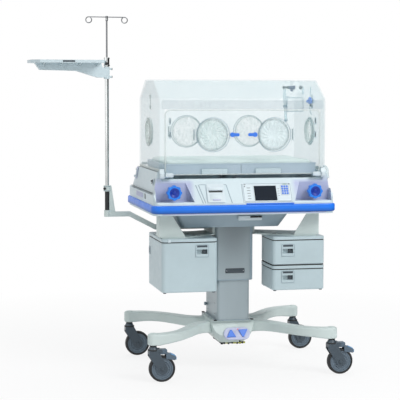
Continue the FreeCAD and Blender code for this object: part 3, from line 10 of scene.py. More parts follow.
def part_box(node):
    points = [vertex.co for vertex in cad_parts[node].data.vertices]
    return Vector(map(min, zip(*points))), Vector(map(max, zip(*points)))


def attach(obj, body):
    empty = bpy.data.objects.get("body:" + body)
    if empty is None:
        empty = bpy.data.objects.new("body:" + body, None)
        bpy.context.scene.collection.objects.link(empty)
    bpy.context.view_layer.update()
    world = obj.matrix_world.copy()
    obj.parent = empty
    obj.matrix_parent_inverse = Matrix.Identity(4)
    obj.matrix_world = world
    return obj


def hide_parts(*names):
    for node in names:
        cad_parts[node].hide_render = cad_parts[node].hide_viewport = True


bl_info = {
    "name": "Infant incubator finish",
    "version": (1, 0, 0),
    "blender": (4, 5, 0),
    "location": "View3D > Sidebar > Incubator",
    "description": "Adds the finishes, trims, mattress and small fittings of an infant incubator to its solid model",
    "category": "Object",
}

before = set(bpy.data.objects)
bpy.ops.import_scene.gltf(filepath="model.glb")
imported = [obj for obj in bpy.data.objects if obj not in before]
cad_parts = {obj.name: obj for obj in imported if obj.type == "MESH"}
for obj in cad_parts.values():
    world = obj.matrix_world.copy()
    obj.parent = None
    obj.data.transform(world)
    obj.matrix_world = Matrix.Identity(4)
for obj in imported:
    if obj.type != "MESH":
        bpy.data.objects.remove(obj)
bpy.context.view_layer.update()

MM = 0.001
SIDES = (("left", -1), ("right", 1))
column_low, column_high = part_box("lower_column")
AXIS = (column_low + column_high) / 2
SLOPE = math.atan2(114.0, 64.0)
END_LEAN = math.atan2(17.0, 102.0)

# Places that recur, in millimetres from the column's axis and the floor.
CASTER_X, CASTER_Y = 440, 330
AXLE_TRAIL, AXLE_Z = 42, 62.5
PULL_FRONT = -276
BACK_WALL = 337
PANEL_PROUD = 3.0
RESERVOIR_X = -139.5
DOOR_FRONT = -303
HOOD_BACK = 210
HOOD_END = 406

CUFF_FILM = 0.0006

finish = {}


def tint(name, description, default):
    return FloatVectorProperty(name=name, description=description, default=default, size=3, min=0.0, max=1.0,
                               subtype="COLOR_GAMMA")


def size(name, description, default):
    return FloatProperty(name=name, description=description, default=default, min=0.0, unit="LENGTH")


class IncubatorColours(bpy.types.PropertyGroup):
    """Colours of the incubator's materials."""
    housing: tint("Housing", "Moulded housing around the tub", (0.80, 0.86, 0.88))
    # painted shade: the lilac grey that stands for the shade inside the two handwheel bays
    bay: tint("Handwheel bay", "Shaded inside of the two handwheel bays", (0.68, 0.71, 0.83))
    casting: tint("Casting", "Powder-coated legs, hub, arms and brackets", (0.79, 0.84, 0.83))
    column: tint("Column", "Brushed sheet of the lifting column", (0.62, 0.67, 0.69))
    cabinet: tint("Cabinet", "Drawers and lids", (0.72, 0.79, 0.81))
    pan: tint("Pan", "Casing under the housing", (0.58, 0.65, 0.69))
    bumper: tint("Bumper", "Rail around the housing", (0.03, 0.46, 0.92))
    handwheel: tint("Handwheel", "Lobed rims of the handwheels", (0.09, 0.49, 0.91))
    handwheel_cap: tint("Handwheel cap", "Dished centres of the handwheels", (0.0, 0.20, 0.64))
    key: tint("Keys", "Keys, pedals and port latches", (0.22, 0.47, 0.88))
    panel: tint("Panel", "Control panel and reservoir face", (0.82, 0.87, 0.89))
    screen: tint("Screen", "Dark glass of the display", (0.09, 0.12, 0.16))
    slate: tint("Slate", "Caster forks", (0.25, 0.30, 0.34))
    core: tint("Wheel core", "Wheel cores and their guards", (0.38, 0.44, 0.49))
    rubber: tint("Rubber", "Tyres, seals and dark fittings", (0.10, 0.11, 0.12))
    lever: tint("Brake lever", "Caster brake levers", (0.34, 0.41, 0.47))
    lever_tip: tint("Brake lever tip", "Tread pads on the brake levers", (0.46, 0.67, 0.85))
    tray: tint("Bassinet", "Tray under the mattress", (0.72, 0.77, 0.82))
    cover: tint("Mattress cover", "Welded cover of the mattress", (0.88, 0.92, 0.90))
    clear: tint("Clear plastic", "Faint tint of the hood's sheet", (0.76, 0.89, 0.92))
    milky: tint("Milky plastic", "Port doors, cuffs and iris sleeves", (0.94, 0.98, 0.97))
    shelf: tint("Shelf", "Shelf on the pole", (0.79, 0.85, 0.87))
    chrome: tint("Chrome", "Pole", (0.80, 0.81, 0.81))
    rod: tint("Rod", "Rod and hooks", (0.50, 0.51, 0.52))
    plate: tint("Plate", "Dark bare plates", (0.24, 0.28, 0.31))


class IncubatorSizes(bpy.types.PropertyGroup):
    """Sizes of the fittings that are added to the solid model."""
    seal_width: size("Seal width", "Width of the door and hood seals", 0.005)
    cuff_pleat: size("Cuff pleat", "Depth of the pleats in the port cuffs", 0.0030)
    mattress_swell: size("Mattress swell", "Most that the mattress swells when it is filled", 0.006)
    piping: size("Piping", "Radius of the mattress's welded edge", 0.0016)
    hose: size("Sensor tube", "Radius of the clear tube in the hood", 0.0075)
    edge: size("Edge rounding", "Radius of the softened edges of moulded parts", 0.0015)


class IncubatorStudio(bpy.types.PropertyGroup):
    """Camera and lights of the studio."""
    camera_place: FloatVectorProperty(name="Camera", description="Where the camera stands",
                                      default=(-1.3971, -6.5001, 1.3791), unit="LENGTH")
    yaw: FloatProperty(name="Yaw", description="How far the camera looks to the right of straight ahead",
                       default=math.radians(12.767), unit="ROTATION")
    pitch: FloatProperty(name="Pitch", description="How far the camera looks down", default=math.radians(4.715),
                         unit="ROTATION")
    roll: FloatProperty(name="Roll", description="Lean of the camera", default=math.radians(0.153), unit="ROTATION")
    lens: FloatProperty(name="Lens", description="Focal length in millimetres for a 36 mm frame", default=121.69)
    sky: FloatProperty(name="Room light", description="Strength of the even light from all round", default=0.42)
    key: FloatProperty(name="Key light", description="Power of the large lamp at the front right, in watts",
                       default=174.0)
    fill: FloatProperty(name="Fill light", description="Power of the lamp at the left, in watts", default=34.0)
    top: FloatProperty(name="Top light", description="Power of the lamp above, in watts", default=60.0)


def linear(shade):
    """A display colour as the shader's own, with alpha."""
    plain = Color(shade).from_srgb_to_scene_linear()
    return (plain.r, plain.g, plain.b, 1.0)


def colour(name):
    return linear(getattr(bpy.context.scene.incubator_colours, name))


def scaled(shade, factor):
    return tuple(min(1.0, part * factor) for part in shade[:3]) + (1.0,)


class Value:
    """A shader value. Arithmetic on it adds Math nodes to its finish."""

    def __init__(self, owner, socket):
        self.owner = owner
        self.socket = socket

    def math(self, operation, first, second):
        return self.owner.node("ShaderNodeMath", {"operation": operation}, {0: first, 1: second})

    def __add__(self, other):
        return self.math("ADD", self, other)

    def __sub__(self, other):
        return self.math("SUBTRACT", self, other)

    def __rsub__(self, other):
        return self.math("SUBTRACT", other, self)

    def __mul__(self, other):
        return self.math("MULTIPLY", self, other)

    def between(self, low, high, new_low=0.0, new_high=1.0):
        return self.owner.node("ShaderNodeMapRange", {"clamp": True},
                               {0: self, 1: low, 2: high, 3: new_low, 4: new_high})


class Finish:
    """The nodes of one material, or of the room's world."""

    def __init__(self, name, store=None):
        self.owner = (bpy.data.materials if store is None else store).new(name)
        self.owner.use_nodes = True
        self.tree = self.owner.node_tree
        self.tree.nodes.clear()

    def node(self, kind, settings=None, inputs=None, output=0):
        """Add a node: its settings first, then the values or links of its sockets."""
        made = self.tree.nodes.new(kind)
        for setting, value in (settings or {}).items():
            setattr(made, setting, value)
        for name, value in (inputs or {}).items():
            if isinstance(value, Value):
                self.tree.links.new(value.socket, made.inputs[name])
            else:
                made.inputs[name].default_value = value
        return Value(self, made.outputs[output]) if made.outputs else made

    def shown(self):
        """One for what the camera sees, straight on or in metal and glass."""
        seen = 0.0
        for kind in ("Camera", "Glossy", "Transmission"):
            seen = self.node("ShaderNodeLightPath", output="Is " + kind + " Ray") + seen
        return seen.between(0.0, 1.0)

    def place(self, stretch=(1.0, 1.0, 1.0)):
        """Position on the part in metres, stretched along its axes."""
        place = self.node("ShaderNodeTexCoord", output="Object")
        return self.node("ShaderNodeVectorMath", {"operation": "MULTIPLY"}, {0: place, 1: stretch})

    def axis(self, name):
        return self.node("ShaderNodeSeparateXYZ", None, {0: self.place()}, output=name)

    def noise(self, scale, detail=2.0, stretch=(1.0, 1.0, 1.0)):
        return self.node("ShaderNodeTexNoise", None,
                         {"Vector": self.place(stretch), "Scale": scale, "Detail": detail})

    def cells(self, scale):
        return self.node("ShaderNodeTexVoronoi", {"feature": "SMOOTH_F1"},
                         {"Vector": self.place(), "Scale": scale, "Smoothness": 0.6})

    def mix(self, amount, first, second):
        return self.node("ShaderNodeMix", {"data_type": "RGBA"}, {0: amount, 6: first, 7: second}, output=2)

    def rounded(self, radius):
        """The surface's direction with its edges rounded off."""
        return self.node("ShaderNodeBevel", {"samples": 4}, {"Radius": radius})

    def edge(self, rounded):
        """One along the sharp edges, nothing on the flats."""
        true = self.node("ShaderNodeNewGeometry", output="Normal")
        facing = self.node("ShaderNodeVectorMath", {"operation": "DOT_PRODUCT"}, {0: rounded, 1: true},
                           output="Value")
        return (1.0 - facing).between(0.01, 0.2)

    def bump(self, height, strength, distance, normal=None):
        inputs = {"Height": height, "Strength": strength, "Distance": distance}
        if normal:
            inputs["Normal"] = normal
        return self.node("ShaderNodeBump", None, inputs)

    def surface(self, inputs):
        shader = self.node("ShaderNodeBsdfPrincipled", None, inputs)
        self.node("ShaderNodeOutputMaterial", None, {"Surface": shader})
        return self.owner


def moulded(name, shade, roughness=0.42, grain=900.0, depth=0.22, tone=0.04, wear=0.3, metallic=0.0, coat=0.0,
            second=None, mask=None):
    """Moulded or coated surface: cloudy tone, fine grain, smudges and rubbed edges."""
    made = Finish(name)
    radius = bpy.context.scene.incubator_sizes.edge
    rounded = made.rounded(radius)
    edge = made.edge(rounded)
    base = made.mix(made.noise(4.5, 3.0).between(0.3, 0.7), scaled(shade, 1 - tone), scaled(shade, 1 + tone))
    if second:
        base = made.mix(mask(made), base, second)
    smudge = made.noise(38.0, 5.0).between(0.35, 0.7)
    base = made.mix(smudge * 0.06, base, scaled(shade, 0.72))
    base = made.mix(edge * wear, base, scaled(shade, 1.22))
    height = made.cells(grain) + made.noise(grain * 0.2, 2.0) * 0.6
    return made.surface({
        "Base Color": base, "Roughness": smudge * 0.14 + (roughness - 0.05), "Metallic": metallic,
        "Coat Weight": coat, "Coat Roughness": 0.12, "Normal": made.bump(height, depth, 0.0004, rounded),
    })


def brushed(name, shade):
    """Sheet metal under thin lacquer, brushed upright, with the soft bands of a rolled sheet and a painted shadow of
    the housing down its middle.
    """
    made = Finish(name)
    rounded = made.rounded(0.002)
    lines = made.noise(260.0, 3.0, (1.0, 1.0, 0.02))
    band = made.noise(9.0, 1.0, (1.0, 1.0, 0.12)).between(0.3, 0.7)
    base = made.mix(band, scaled(shade, 0.90), scaled(shade, 1.08))
    # painted shadow of the housing: the middle of the column darkens, growing from 0.45 m up to 0.66 m
    middle = (made.axis("X") - AXIS.x) * 9.5
    housing_shadow_paint = (1.0 - middle * middle).between(0.0, 1.0) * made.axis("Z").between(0.45, 0.66)
    base = made.mix(housing_shadow_paint * 0.75, base, scaled(shade, 0.58))
    base = made.mix(lines * 0.14, base, scaled(shade, 0.8))
    base = made.mix(made.edge(rounded) * 0.4, base, scaled(shade, 1.25))
    return made.surface({
        "Base Color": base, "Metallic": 0.25, "Roughness": lines.between(0.2, 0.8, 0.3, 0.46),
        "Normal": made.bump(lines, 0.12, 0.0003, rounded),
    })


def chromed(name, shade):
    """Plated tube with fine handling scratches."""
    made = Finish(name)
    scratch = made.noise(700.0, 4.0, (1.0, 1.0, 0.06))
    haze = made.noise(22.0, 4.0)
    return made.surface({
        "Base Color": made.mix(haze.between(0.4, 0.7), shade, scaled(shade, 0.88)), "Metallic": 1.0,
        "Roughness": scratch.between(0.35, 0.75, 0.1, 0.2), "Normal": made.bump(scratch, 0.02, 0.0002),
    })


def clear_sheet(name, shade, alpha, rim, haze=0.06, deep=0.7):
    """Clear acrylic: nearly nothing face on, a tinted line where it turns away, with fine wipe marks."""
    made = Finish(name)
    turned = made.node("ShaderNodeLayerWeight", None, {"Blend": 0.35}, output="Facing")
    wipes = made.noise(70.0, 6.0, (1.0, 1.0, 0.25)).between(0.45, 0.75)
    smear = made.noise(6.0, 3.0).between(0.4, 0.7)
    tone = made.mix(turned, shade, scaled(shade, deep))
    return made.surface({
        "Base Color": tone, "Roughness": wipes * 0.08 + haze, "IOR": 1.49,
        "Alpha": turned * turned * (rim - alpha) + (smear * 0.25 * alpha + alpha),
        "Normal": made.bump(made.noise(3.0, 1.0), 0.05, 0.004),
    })


def milky_sheet(name, shade, alpha, spokes):
    """Thin milky film or frosted disc, denser where it is pleated, with painted shade in its creases."""
    made = Finish(name)
    turned = made.node("ShaderNodeLayerWeight", None, {"Blend": 0.4}, output="Facing")
    crease = made.noise(70.0, 4.0, (1.0, 1.0, 0.5)).between(0.42, 0.62)
    # the creases make the film denser through alpha, and their darker colour is painted shade
    return made.surface({
        "Base Color": made.mix(crease * 0.35, shade, scaled(shade, 0.86)),
        "Roughness": crease * 0.2 + 0.32, "Alpha": turned * 0.35 + crease * spokes + alpha,
        "Normal": made.bump(crease, 0.3, 0.0012),
    })


def glass(name, shade):
    """Dark display glass over a faint cell pattern, with a painted reflection in soft lighter patches."""
    made = Finish(name)
    rows = made.node("ShaderNodeTexWave", {"bands_direction": "X", "wave_profile": "SIN"},
                     {"Vector": made.place(), "Scale": 420.0})
    # painted reflection: soft patches where the glass colour is lightened
    painted_screen_reflection = made.noise(5.0, 1.0, (1.0, 0.6, 1.4)).between(0.3, 0.75)
    base = made.mix(painted_screen_reflection * 0.3, shade, scaled(shade, 1.8))
    return made.surface({
        "Base Color": made.mix(rows * 0.08, base, scaled(shade, 0.5)), "Roughness": 0.3, "Specular IOR Level": 0.05,
        "Normal": made.bump(made.noise(40.0, 1.0), 0.02, 0.001),
    })


def welded_cover(name, shade):
    """Soft coated fabric of the mattress: fine weave under the coating and shallow creases."""
    made = Finish(name)
    weave_x = made.node("ShaderNodeTexWave", {"bands_direction": "X"}, {"Vector": made.place(), "Scale": 260.0})
    weave_y = made.node("ShaderNodeTexWave", {"bands_direction": "Y"}, {"Vector": made.place(), "Scale": 260.0})
    crease = made.noise(24.0, 4.0, (1.0, 1.6, 1.0))
    base = made.mix(crease.between(0.35, 0.65), scaled(shade, 0.95), scaled(shade, 1.04))
    base = made.mix(weave_x * weave_y * 0.12, base, scaled(shade, 0.8))
    return made.surface({
        "Base Color": base, "Roughness": crease.between(0.3, 0.7, 0.45, 0.62), "Sheen Weight": 0.15,
        "Normal": made.bump(weave_x * weave_y * 0.3 + crease * 1.5, 0.35, 0.0012),
    })


def bay_shade_paint_mask(made):
    """Painted shade: one inside the two handwheel bays of the housing, stronger deeper in."""
    across = made.axis("X") - AXIS.x
    far = (across * across).between(0.235 ** 2, 0.26 ** 2) * (1.0 - (across * across).between(0.425 ** 2, 0.43 ** 2))
    deep = made.axis("Y").between(AXIS.y - 0.36, AXIS.y - 0.30)
    low = made.axis("Z").between(0.845, 0.85) * (1.0 - made.axis("Z").between(0.93, 0.965))
    front = 1.0 - made.axis("Y").between(AXIS.y - 0.294, AXIS.y - 0.290)
    return far * low * front * (deep * 0.5 + 0.5)


def bumper_underside_shade_paint(made):
    """Painted shade: one along the lower edge of the bumper."""
    return 1.0 - made.axis("Z").between(0.797, 0.815)


def make_finishes():
    """Every material of the incubator, by the name of what it covers."""
    # inside the handwheel bays the housing takes the painted bay shade
    finish["housing"] = moulded("housing_plastic", colour("housing"), 0.4, 1100.0, 0.14, second=colour("bay"),
                                mask=bay_shade_paint_mask)
    finish["casting"] = moulded("powder_coat", colour("casting"), 0.46, 520.0, 0.3, wear=0.5)
    finish["column"] = brushed("column_sheet", colour("column"))
    finish["cabinet"] = moulded("cabinet_plastic", colour("cabinet"), 0.4, 800.0, 0.2, wear=0.5)
    finish["pan"] = moulded("pan_paint", colour("pan"), 0.42, 650.0, 0.2, metallic=0.15)
    # the bumper's lower edge is painted in shade, at 45 per cent of its colour
    finish["bumper"] = moulded("bumper_vinyl", colour("bumper"), 0.4, 500.0, 0.18, 0.06, 0.25, coat=0.1,
                               second=scaled(colour("bumper"), 0.45), mask=bumper_underside_shade_paint)
    finish["handwheel"] = moulded("handwheel_plastic", colour("handwheel"), 0.36, 1200.0, 0.1, coat=0.15)
    finish["handwheel_cap"] = moulded("handwheel_cap_plastic", colour("handwheel_cap"), 0.4, 1500.0, 0.08)
    finish["key"] = moulded("key_plastic", colour("key"), 0.36, 1400.0, 0.12)
    finish["panel"] = moulded("panel_film", colour("panel"), 0.34, 1600.0, 0.1)
    finish["screen"] = glass("screen_glass", colour("screen"))
    finish["slate"] = moulded("caster_plastic", colour("slate"), 0.38, 700.0, 0.25, 0.08, 0.35)
    finish["core"] = moulded("wheel_core_plastic", colour("core"), 0.42, 700.0, 0.25, 0.08, 0.35)
    finish["rubber"] = moulded("tyre_rubber", colour("rubber"), 0.62, 420.0, 0.35, 0.12, 0.5)
    finish["lever"] = moulded("lever_plastic", colour("lever"), 0.4, 700.0, 0.2)
    finish["lever_tip"] = moulded("lever_tip_plastic", colour("lever_tip"), 0.45, 600.0, 0.3)
    finish["tray"] = moulded("bassinet_plastic", colour("tray"), 0.34, 1200.0, 0.1, wear=0.5)
    finish["cover"] = welded_cover("mattress_cover", colour("cover"))
    finish["clear"] = clear_sheet("clear_acrylic", colour("clear"), 0.1, 0.42)
    finish["clear_port"] = clear_sheet("clear_port", colour("clear"), 0.08, 0.32, deep=0.8)
    finish["tube"] = clear_sheet("clear_tube", colour("clear"), 0.3, 0.9)
    finish["milky"] = milky_sheet("milky_film", colour("milky"), 0.42, 0.3)
    finish["gathered"] = milky_sheet("gathered_film", scaled(colour("milky"), 1.08), 0.68, 0.25)
    finish["thin_film"] = milky_sheet("thin_film", colour("milky"), 0.06, 0.12)
    finish["band"] = milky_sheet("hood_band", linear((0.72, 0.80, 0.84)), 0.12, 0.03)
    finish["navy"] = moulded("sensor_plastic", linear((0.03, 0.06, 0.32)), 0.36, 1400.0, 0.1)
    finish["seal"] = milky_sheet("seal_silicone", scaled(colour("milky"), 0.8), 0.5, 0.2)
    finish["white"] = moulded("white_fitting", colour("panel"), 0.36, 1100.0, 0.12)
    finish["shelf"] = moulded("shelf_plastic", colour("shelf"), 0.4, 900.0, 0.1, wear=0.1)
    finish["chrome"] = chromed("chrome_plate", colour("chrome"))
    finish["rod"] = chromed("rod_plate", colour("rod"))
    finish["plate"] = moulded("dark_plate", colour("plate"), 0.35, 1300.0, 0.12)
    finish["steel"] = moulded("bare_steel", (0.42, 0.44, 0.46, 1.0), 0.3, 900.0, 0.12, metallic=0.9)
    finish["pink"] = moulded("lamp_pink", linear((0.95, 0.62, 0.66)), 0.25, 1500.0, 0.05)
    finish["green"] = moulded("lamp_green", linear((0.30, 0.62, 0.42)), 0.25, 1500.0, 0.05)
    finish["brass"] = moulded("yellow_chromate", linear((0.66, 0.66, 0.28)), 0.35, 900.0, 0.15, metallic=0.6)
    finish["louvre"] = moulded("louvre_plastic", linear((0.74, 0.76, 0.86)), 0.4, 1100.0, 0.12)
    finish["card"] = moulded("studio_card_paper", (0.02, 0.02, 0.02, 1.0), 0.9)


NODE_FINISH = {
    "base_hub": "casting", "leg_": "casting", "lower_column": "column", "upper_column": "column",
    "pedal_plate": "louvre", "pedal_up": "key", "pedal_down": "key", "caster_fork": "slate",
    "caster_tyre": "rubber", "caster_hub": "core", "brake_lever": "lever", "cross_arm": "casting",
    "cabinet_brackets": "casting", "cabinet_lid": "cabinet", "drawer_": "cabinet", "lower_pan": "pan",
    "main_housing": "housing", "bumper_rail": "bumper", "control_panel": "panel", "display_screen": "screen",
    "keypad": "key", "blower_motor": "steel", "heater_ring": "steel", "blower_fan": "plate", "iv_arm": "casting",
    "iv_pole": "chrome", "iv_rod": "rod", "hook_bar": "rod", "iv_tray": "shelf", "water_reservoir": "panel",
    "tilt_knob": "handwheel", "bed_tray": "tray", "mattress": "cover", "hood_shell": "clear", "front_door": "clear",
    "port_door": "clear_port", "door_hinge_blocks": "white", "end_port_rings": "seal", "port_latch": "key",
}


def at(x, y, z):
    """A point given in millimetres from the column's axis and the floor, in the part's own frame."""
    return Vector((AXIS.x + x * MM, AXIS.y + y * MM, z * MM))


FACES = {
    "front": ((1, 0, 0), (0, 0, 1)), "back": ((-1, 0, 0), (0, 0, 1)), "left": ((0, -1, 0), (0, 0, 1)),
    "right": ((0, 1, 0), (0, 0, 1)), "top": ((1, 0, 0), (0, 1, 0)), "under": ((1, 0, 0), (0, -1, 0)),
    "slope": ((1, 0, 0), (0, math.cos(SLOPE), math.sin(SLOPE))),
}


def spot(x, y, z, face="front", turn=0.0):
    """The matrix that lays a flat shape, drawn in millimetres, on a face of the part, its own z pointing out."""
    across, up = (Vector(axis) for axis in FACES[face])
    out = across.cross(up)
    matrix = Matrix((across, up, out)).transposed().to_4x4()
    return Matrix.Translation(at(x, y, z)) @ matrix @ Matrix.Rotation(turn, 4, "Z") @ Matrix.Scale(MM, 4)


def circle(radius, steps):
    """Outline of a circle: its points with their outward directions."""
    outline = []
    for i in range(steps):
        angle = 2 * math.pi * i / steps
        out = Vector((math.cos(angle), math.sin(angle)))
        outline.append((out * radius, out))
    return outline


def soft_outline(corners, radius, steps=4):
    """Outline of a polygon, walked anticlockwise, with its corners rounded."""
    outline = []
    corners = [Vector(corner) for corner in corners]
    for i, corner in enumerate(corners):
        before = (corner - corners[i - 1]).normalized()
        after = (corners[(i + 1) % len(corners)] - corner).normalized()
        turn = math.atan2(before.x * after.y - before.y * after.x, before.dot(after))
        side = 1 if turn > 0 else -1
        out = Vector((before.y, -before.x))
        centre = corner - before * radius * math.tan(abs(turn) / 2) - out * radius * side
        for step in range(steps + 1):
            angle = turn * step / steps
            way = Matrix.Rotation(angle, 2) @ out
            outline.append((centre + way * radius * side, way))
    return outline


def box_outline(width, height, radius):
    w, h = width / 2, height / 2
    return soft_outline([(-w, -h), (w, -h), (w, h), (-w, h)], radius)


def slab(depth, edge):
    """Section of a flat piece that lies on a surface, with its upper edge rounded."""
    return [(0.0, 0.0), (0.0, depth - edge), (-edge * 0.3, depth - edge * 0.3), (-edge, depth)]


def bead(width, height):
    """Closed section of a low rounded strip."""
    w = width / 2
    return [(-w, 0.0), (w, 0.0), (w, height * 0.6), (w * 0.5, height), (-w * 0.5, height), (-w, height * 0.6)]


class Shape:
    """Collects surfaces and turns them into one object."""

    def __init__(self):
        self.mesh = bmesh.new()

    def sweep(self, place, outline, section, closed=False):
        """Carry a section, given as pairs of outward offset and height, round an outline."""
        rings = []
        for offset, height in section:
            ring = []
            for point, out in outline:
                flat = point + out * offset
                ring.append(self.mesh.verts.new(place @ Vector((flat.x, flat.y, height))))
            rings.append(ring)
        pairs = list(zip(rings, rings[1:]))
        if closed:
            pairs.append((rings[-1], rings[0]))
        for low, high in pairs:
            for i in range(len(outline)):
                j = (i + 1) % len(outline)
                self.mesh.faces.new((low[i], low[j], high[j], high[i]))
        if not closed:
            self.mesh.faces.new(rings[0][::-1])
            self.mesh.faces.new(rings[-1])
        return self

    def plate(self, place, width, height, depth, corner=2.0, edge=0.6):
        return self.sweep(place, box_outline(width, height, corner), slab(depth, edge))

    def turned(self, place, section, steps=32):
        """Turn a section, given as pairs of radius and height, round the place's own z."""
        return self.sweep(place, circle(0.0, steps), section)

    def screw(self, place, radius=3.0):
        """Domed head with a six-sided socket."""
        r = radius
        self.turned(place, [(r, 0.0), (r, r * 0.35), (r * 0.75, r * 0.62), (r * 0.5, r * 0.68)], 20)
        return self.sweep(place @ Matrix.Translation((0, 0, r * 0.68)), circle(r * 0.34, 6),
                          [(0.0, 0.01), (r * 0.12, 0.05), (0.0, 0.06)])

    def done(self, name, kind, body, slot=None, angle=38.0):
        """Make the object, give it its finish, and let it move with the body."""
        bmesh.ops.remove_doubles(self.mesh, verts=self.mesh.verts, dist=1e-6)
        bmesh.ops.recalc_face_normals(self.mesh, faces=self.mesh.faces)
        data = bpy.data.meshes.new(name)
        self.mesh.to_mesh(data)
        self.mesh.free()
        piece = bpy.data.objects.new(name, data)
        bpy.context.scene.collection.objects.link(piece)
        data.materials.append(finish[kind])
        data.shade_smooth()
        data.set_sharp_from_angle(angle=math.radians(angle))
        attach(piece, body)
        return piece


def tube(name, points, radius, kind, body):
    """Round rod or tube along a smooth line, its points and radius in millimetres."""
    line = bpy.data.curves.new(name, "CURVE")
    line.dimensions = "3D"
    line.bevel_depth = radius * MM
    line.bevel_resolution = 4
    line.use_fill_caps = True
    spline = line.splines.new("BEZIER")
    spline.bezier_points.add(len(points) - 1)
    for knot, point in zip(spline.bezier_points, points):
        knot.co = at(*point)
        knot.handle_left_type = knot.handle_right_type = "AUTO"
    piece = bpy.data.objects.new(name, line)
    bpy.context.scene.collection.objects.link(piece)
    line.materials.append(finish[kind])
    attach(piece, body)
    return piece


def on_slope(x, along, proud=0.0):
    """A place on the sloping front, the given distance up the slope from its lower edge and off its face."""
    y = -352.0 + along * math.cos(SLOPE) - proud * math.sin(SLOPE)
    z = 840.0 + along * math.sin(SLOPE) + proud * math.cos(SLOPE)
    return spot(x, y, z, "slope")


def on_panel(x, along):
    """A place on the face of the control panel, which stands proud of the sloping front."""
    return on_slope(x, along, PANEL_PROUD)


class INCUBATOR_OT_finish_frame(bpy.types.Operator):
    """Give every solid of the model its finish"""
    bl_idname = "incubator.finish_frame"
    bl_label = "Finish the solids"

    def execute(self, context):
        make_finishes()
        for name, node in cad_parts.items():
            kind = next(kind for start, kind in NODE_FINISH.items() if name.startswith(start))
            if not node.material_slots:
                node.data.materials.append(finish[kind])
            for slot in node.material_slots:
                slot.material = finish[kind]
        return {"FINISHED"}


class INCUBATOR_OT_base(bpy.types.Operator):
    """Add the hub's floor tray, the column's foot seal and bolts, the pedal lamp and the leg ends"""
    bl_idname = "incubator.base"
    bl_label = "Base"

    def execute(self, context):
        floor = Shape().plate(spot(0, 0, 130, "under"), 112, 196, 7, 26, 2)
        for x in (-46, 46):
            for y in (-78, 78):
                floor.turned(spot(x, y, 123, "under"), [(7, 0), (7, 4), (5, 6)], 16)
        for x, y, reach in ((-40, -104, 7), (-18, -101, 9), (0, -106, 6), (26, -102, 9), (52, -104, 7)):
            floor.turned(spot(x, y, 132, "under"), [(5, 0), (5, reach), (3, reach + 2)], 12)
        floor.done("hub_floor_tray", "rubber", "root")
        clip = Shape().plate(spot(34, -98, 131, "under"), 66, 14, 8, 3, 1)
        clip.plate(spot(-28, -98, 131, "under"), 20, 10, 7, 3, 1)
        clip.done("hub_floor_clip", "brass", "root")
        seal = Shape().sweep(spot(0, 0, 245, "top"), box_outline(168, 262, 16), bead(4, 2.4), closed=True)
        seal.done("column_foot_seal", "pan", "root")
        bolts = Shape()
        for x in (-96, 96):
            for y in (-100, 0, 100):
                bolts.screw(spot(x, y, 245, "top"), 5.5)
        bolts.done("column_foot_bolts", "steel", "root")
        straps = Shape()
        for x in (-93, 93):
            straps.plate(spot(x, -132, 245, "top"), 14, 12, 5, 2, 0.8)
            straps.plate(spot(x, 132, 245, "top"), 14, 12, 5, 2, 0.8)
        straps.done("column_foot_straps", "rubber", "root")
        lean = math.radians(24.0)
        tilted = Matrix.Rotation(-lean, 4, "X")
        lamp_place = spot(14, -158, 204) @ tilted
        Shape().turned(lamp_place, [(4.5, 0), (4.5, 2.5), (3.0, 4.2), (1.2, 5.0)], 20).done(
            "pedal_lamp", "pink", "root")
        Shape().turned(spot(30, -140, 141) @ Matrix.Rotation(lean, 4, "X"), [(4, -3), (4, 3), (2.5, 4)], 16).done(
            "pedal_drain", "rubber", "root")
        for end, side_y in (("front", -1), ("back", 1)):
            for name, side_x in SIDES:
                x, y = side_x * CASTER_X, side_y * CASTER_Y
                cap = Shape().turned(spot(x, y, 230, "top"), [(17, -0.5), (17, 1.2), (15.5, 2.2), (4, 2.6)])
                cap.done("leg_cap_" + end + "_" + name, "casting", "root", "cast_base")
                washer = Shape().turned(spot(x, y, 175, "under"), [(17, 0), (17, 3.5), (13, 6.5)])
                washer.done("stem_collar_" + end + "_" + name, "rubber", "root")
        return {"FINISHED"}


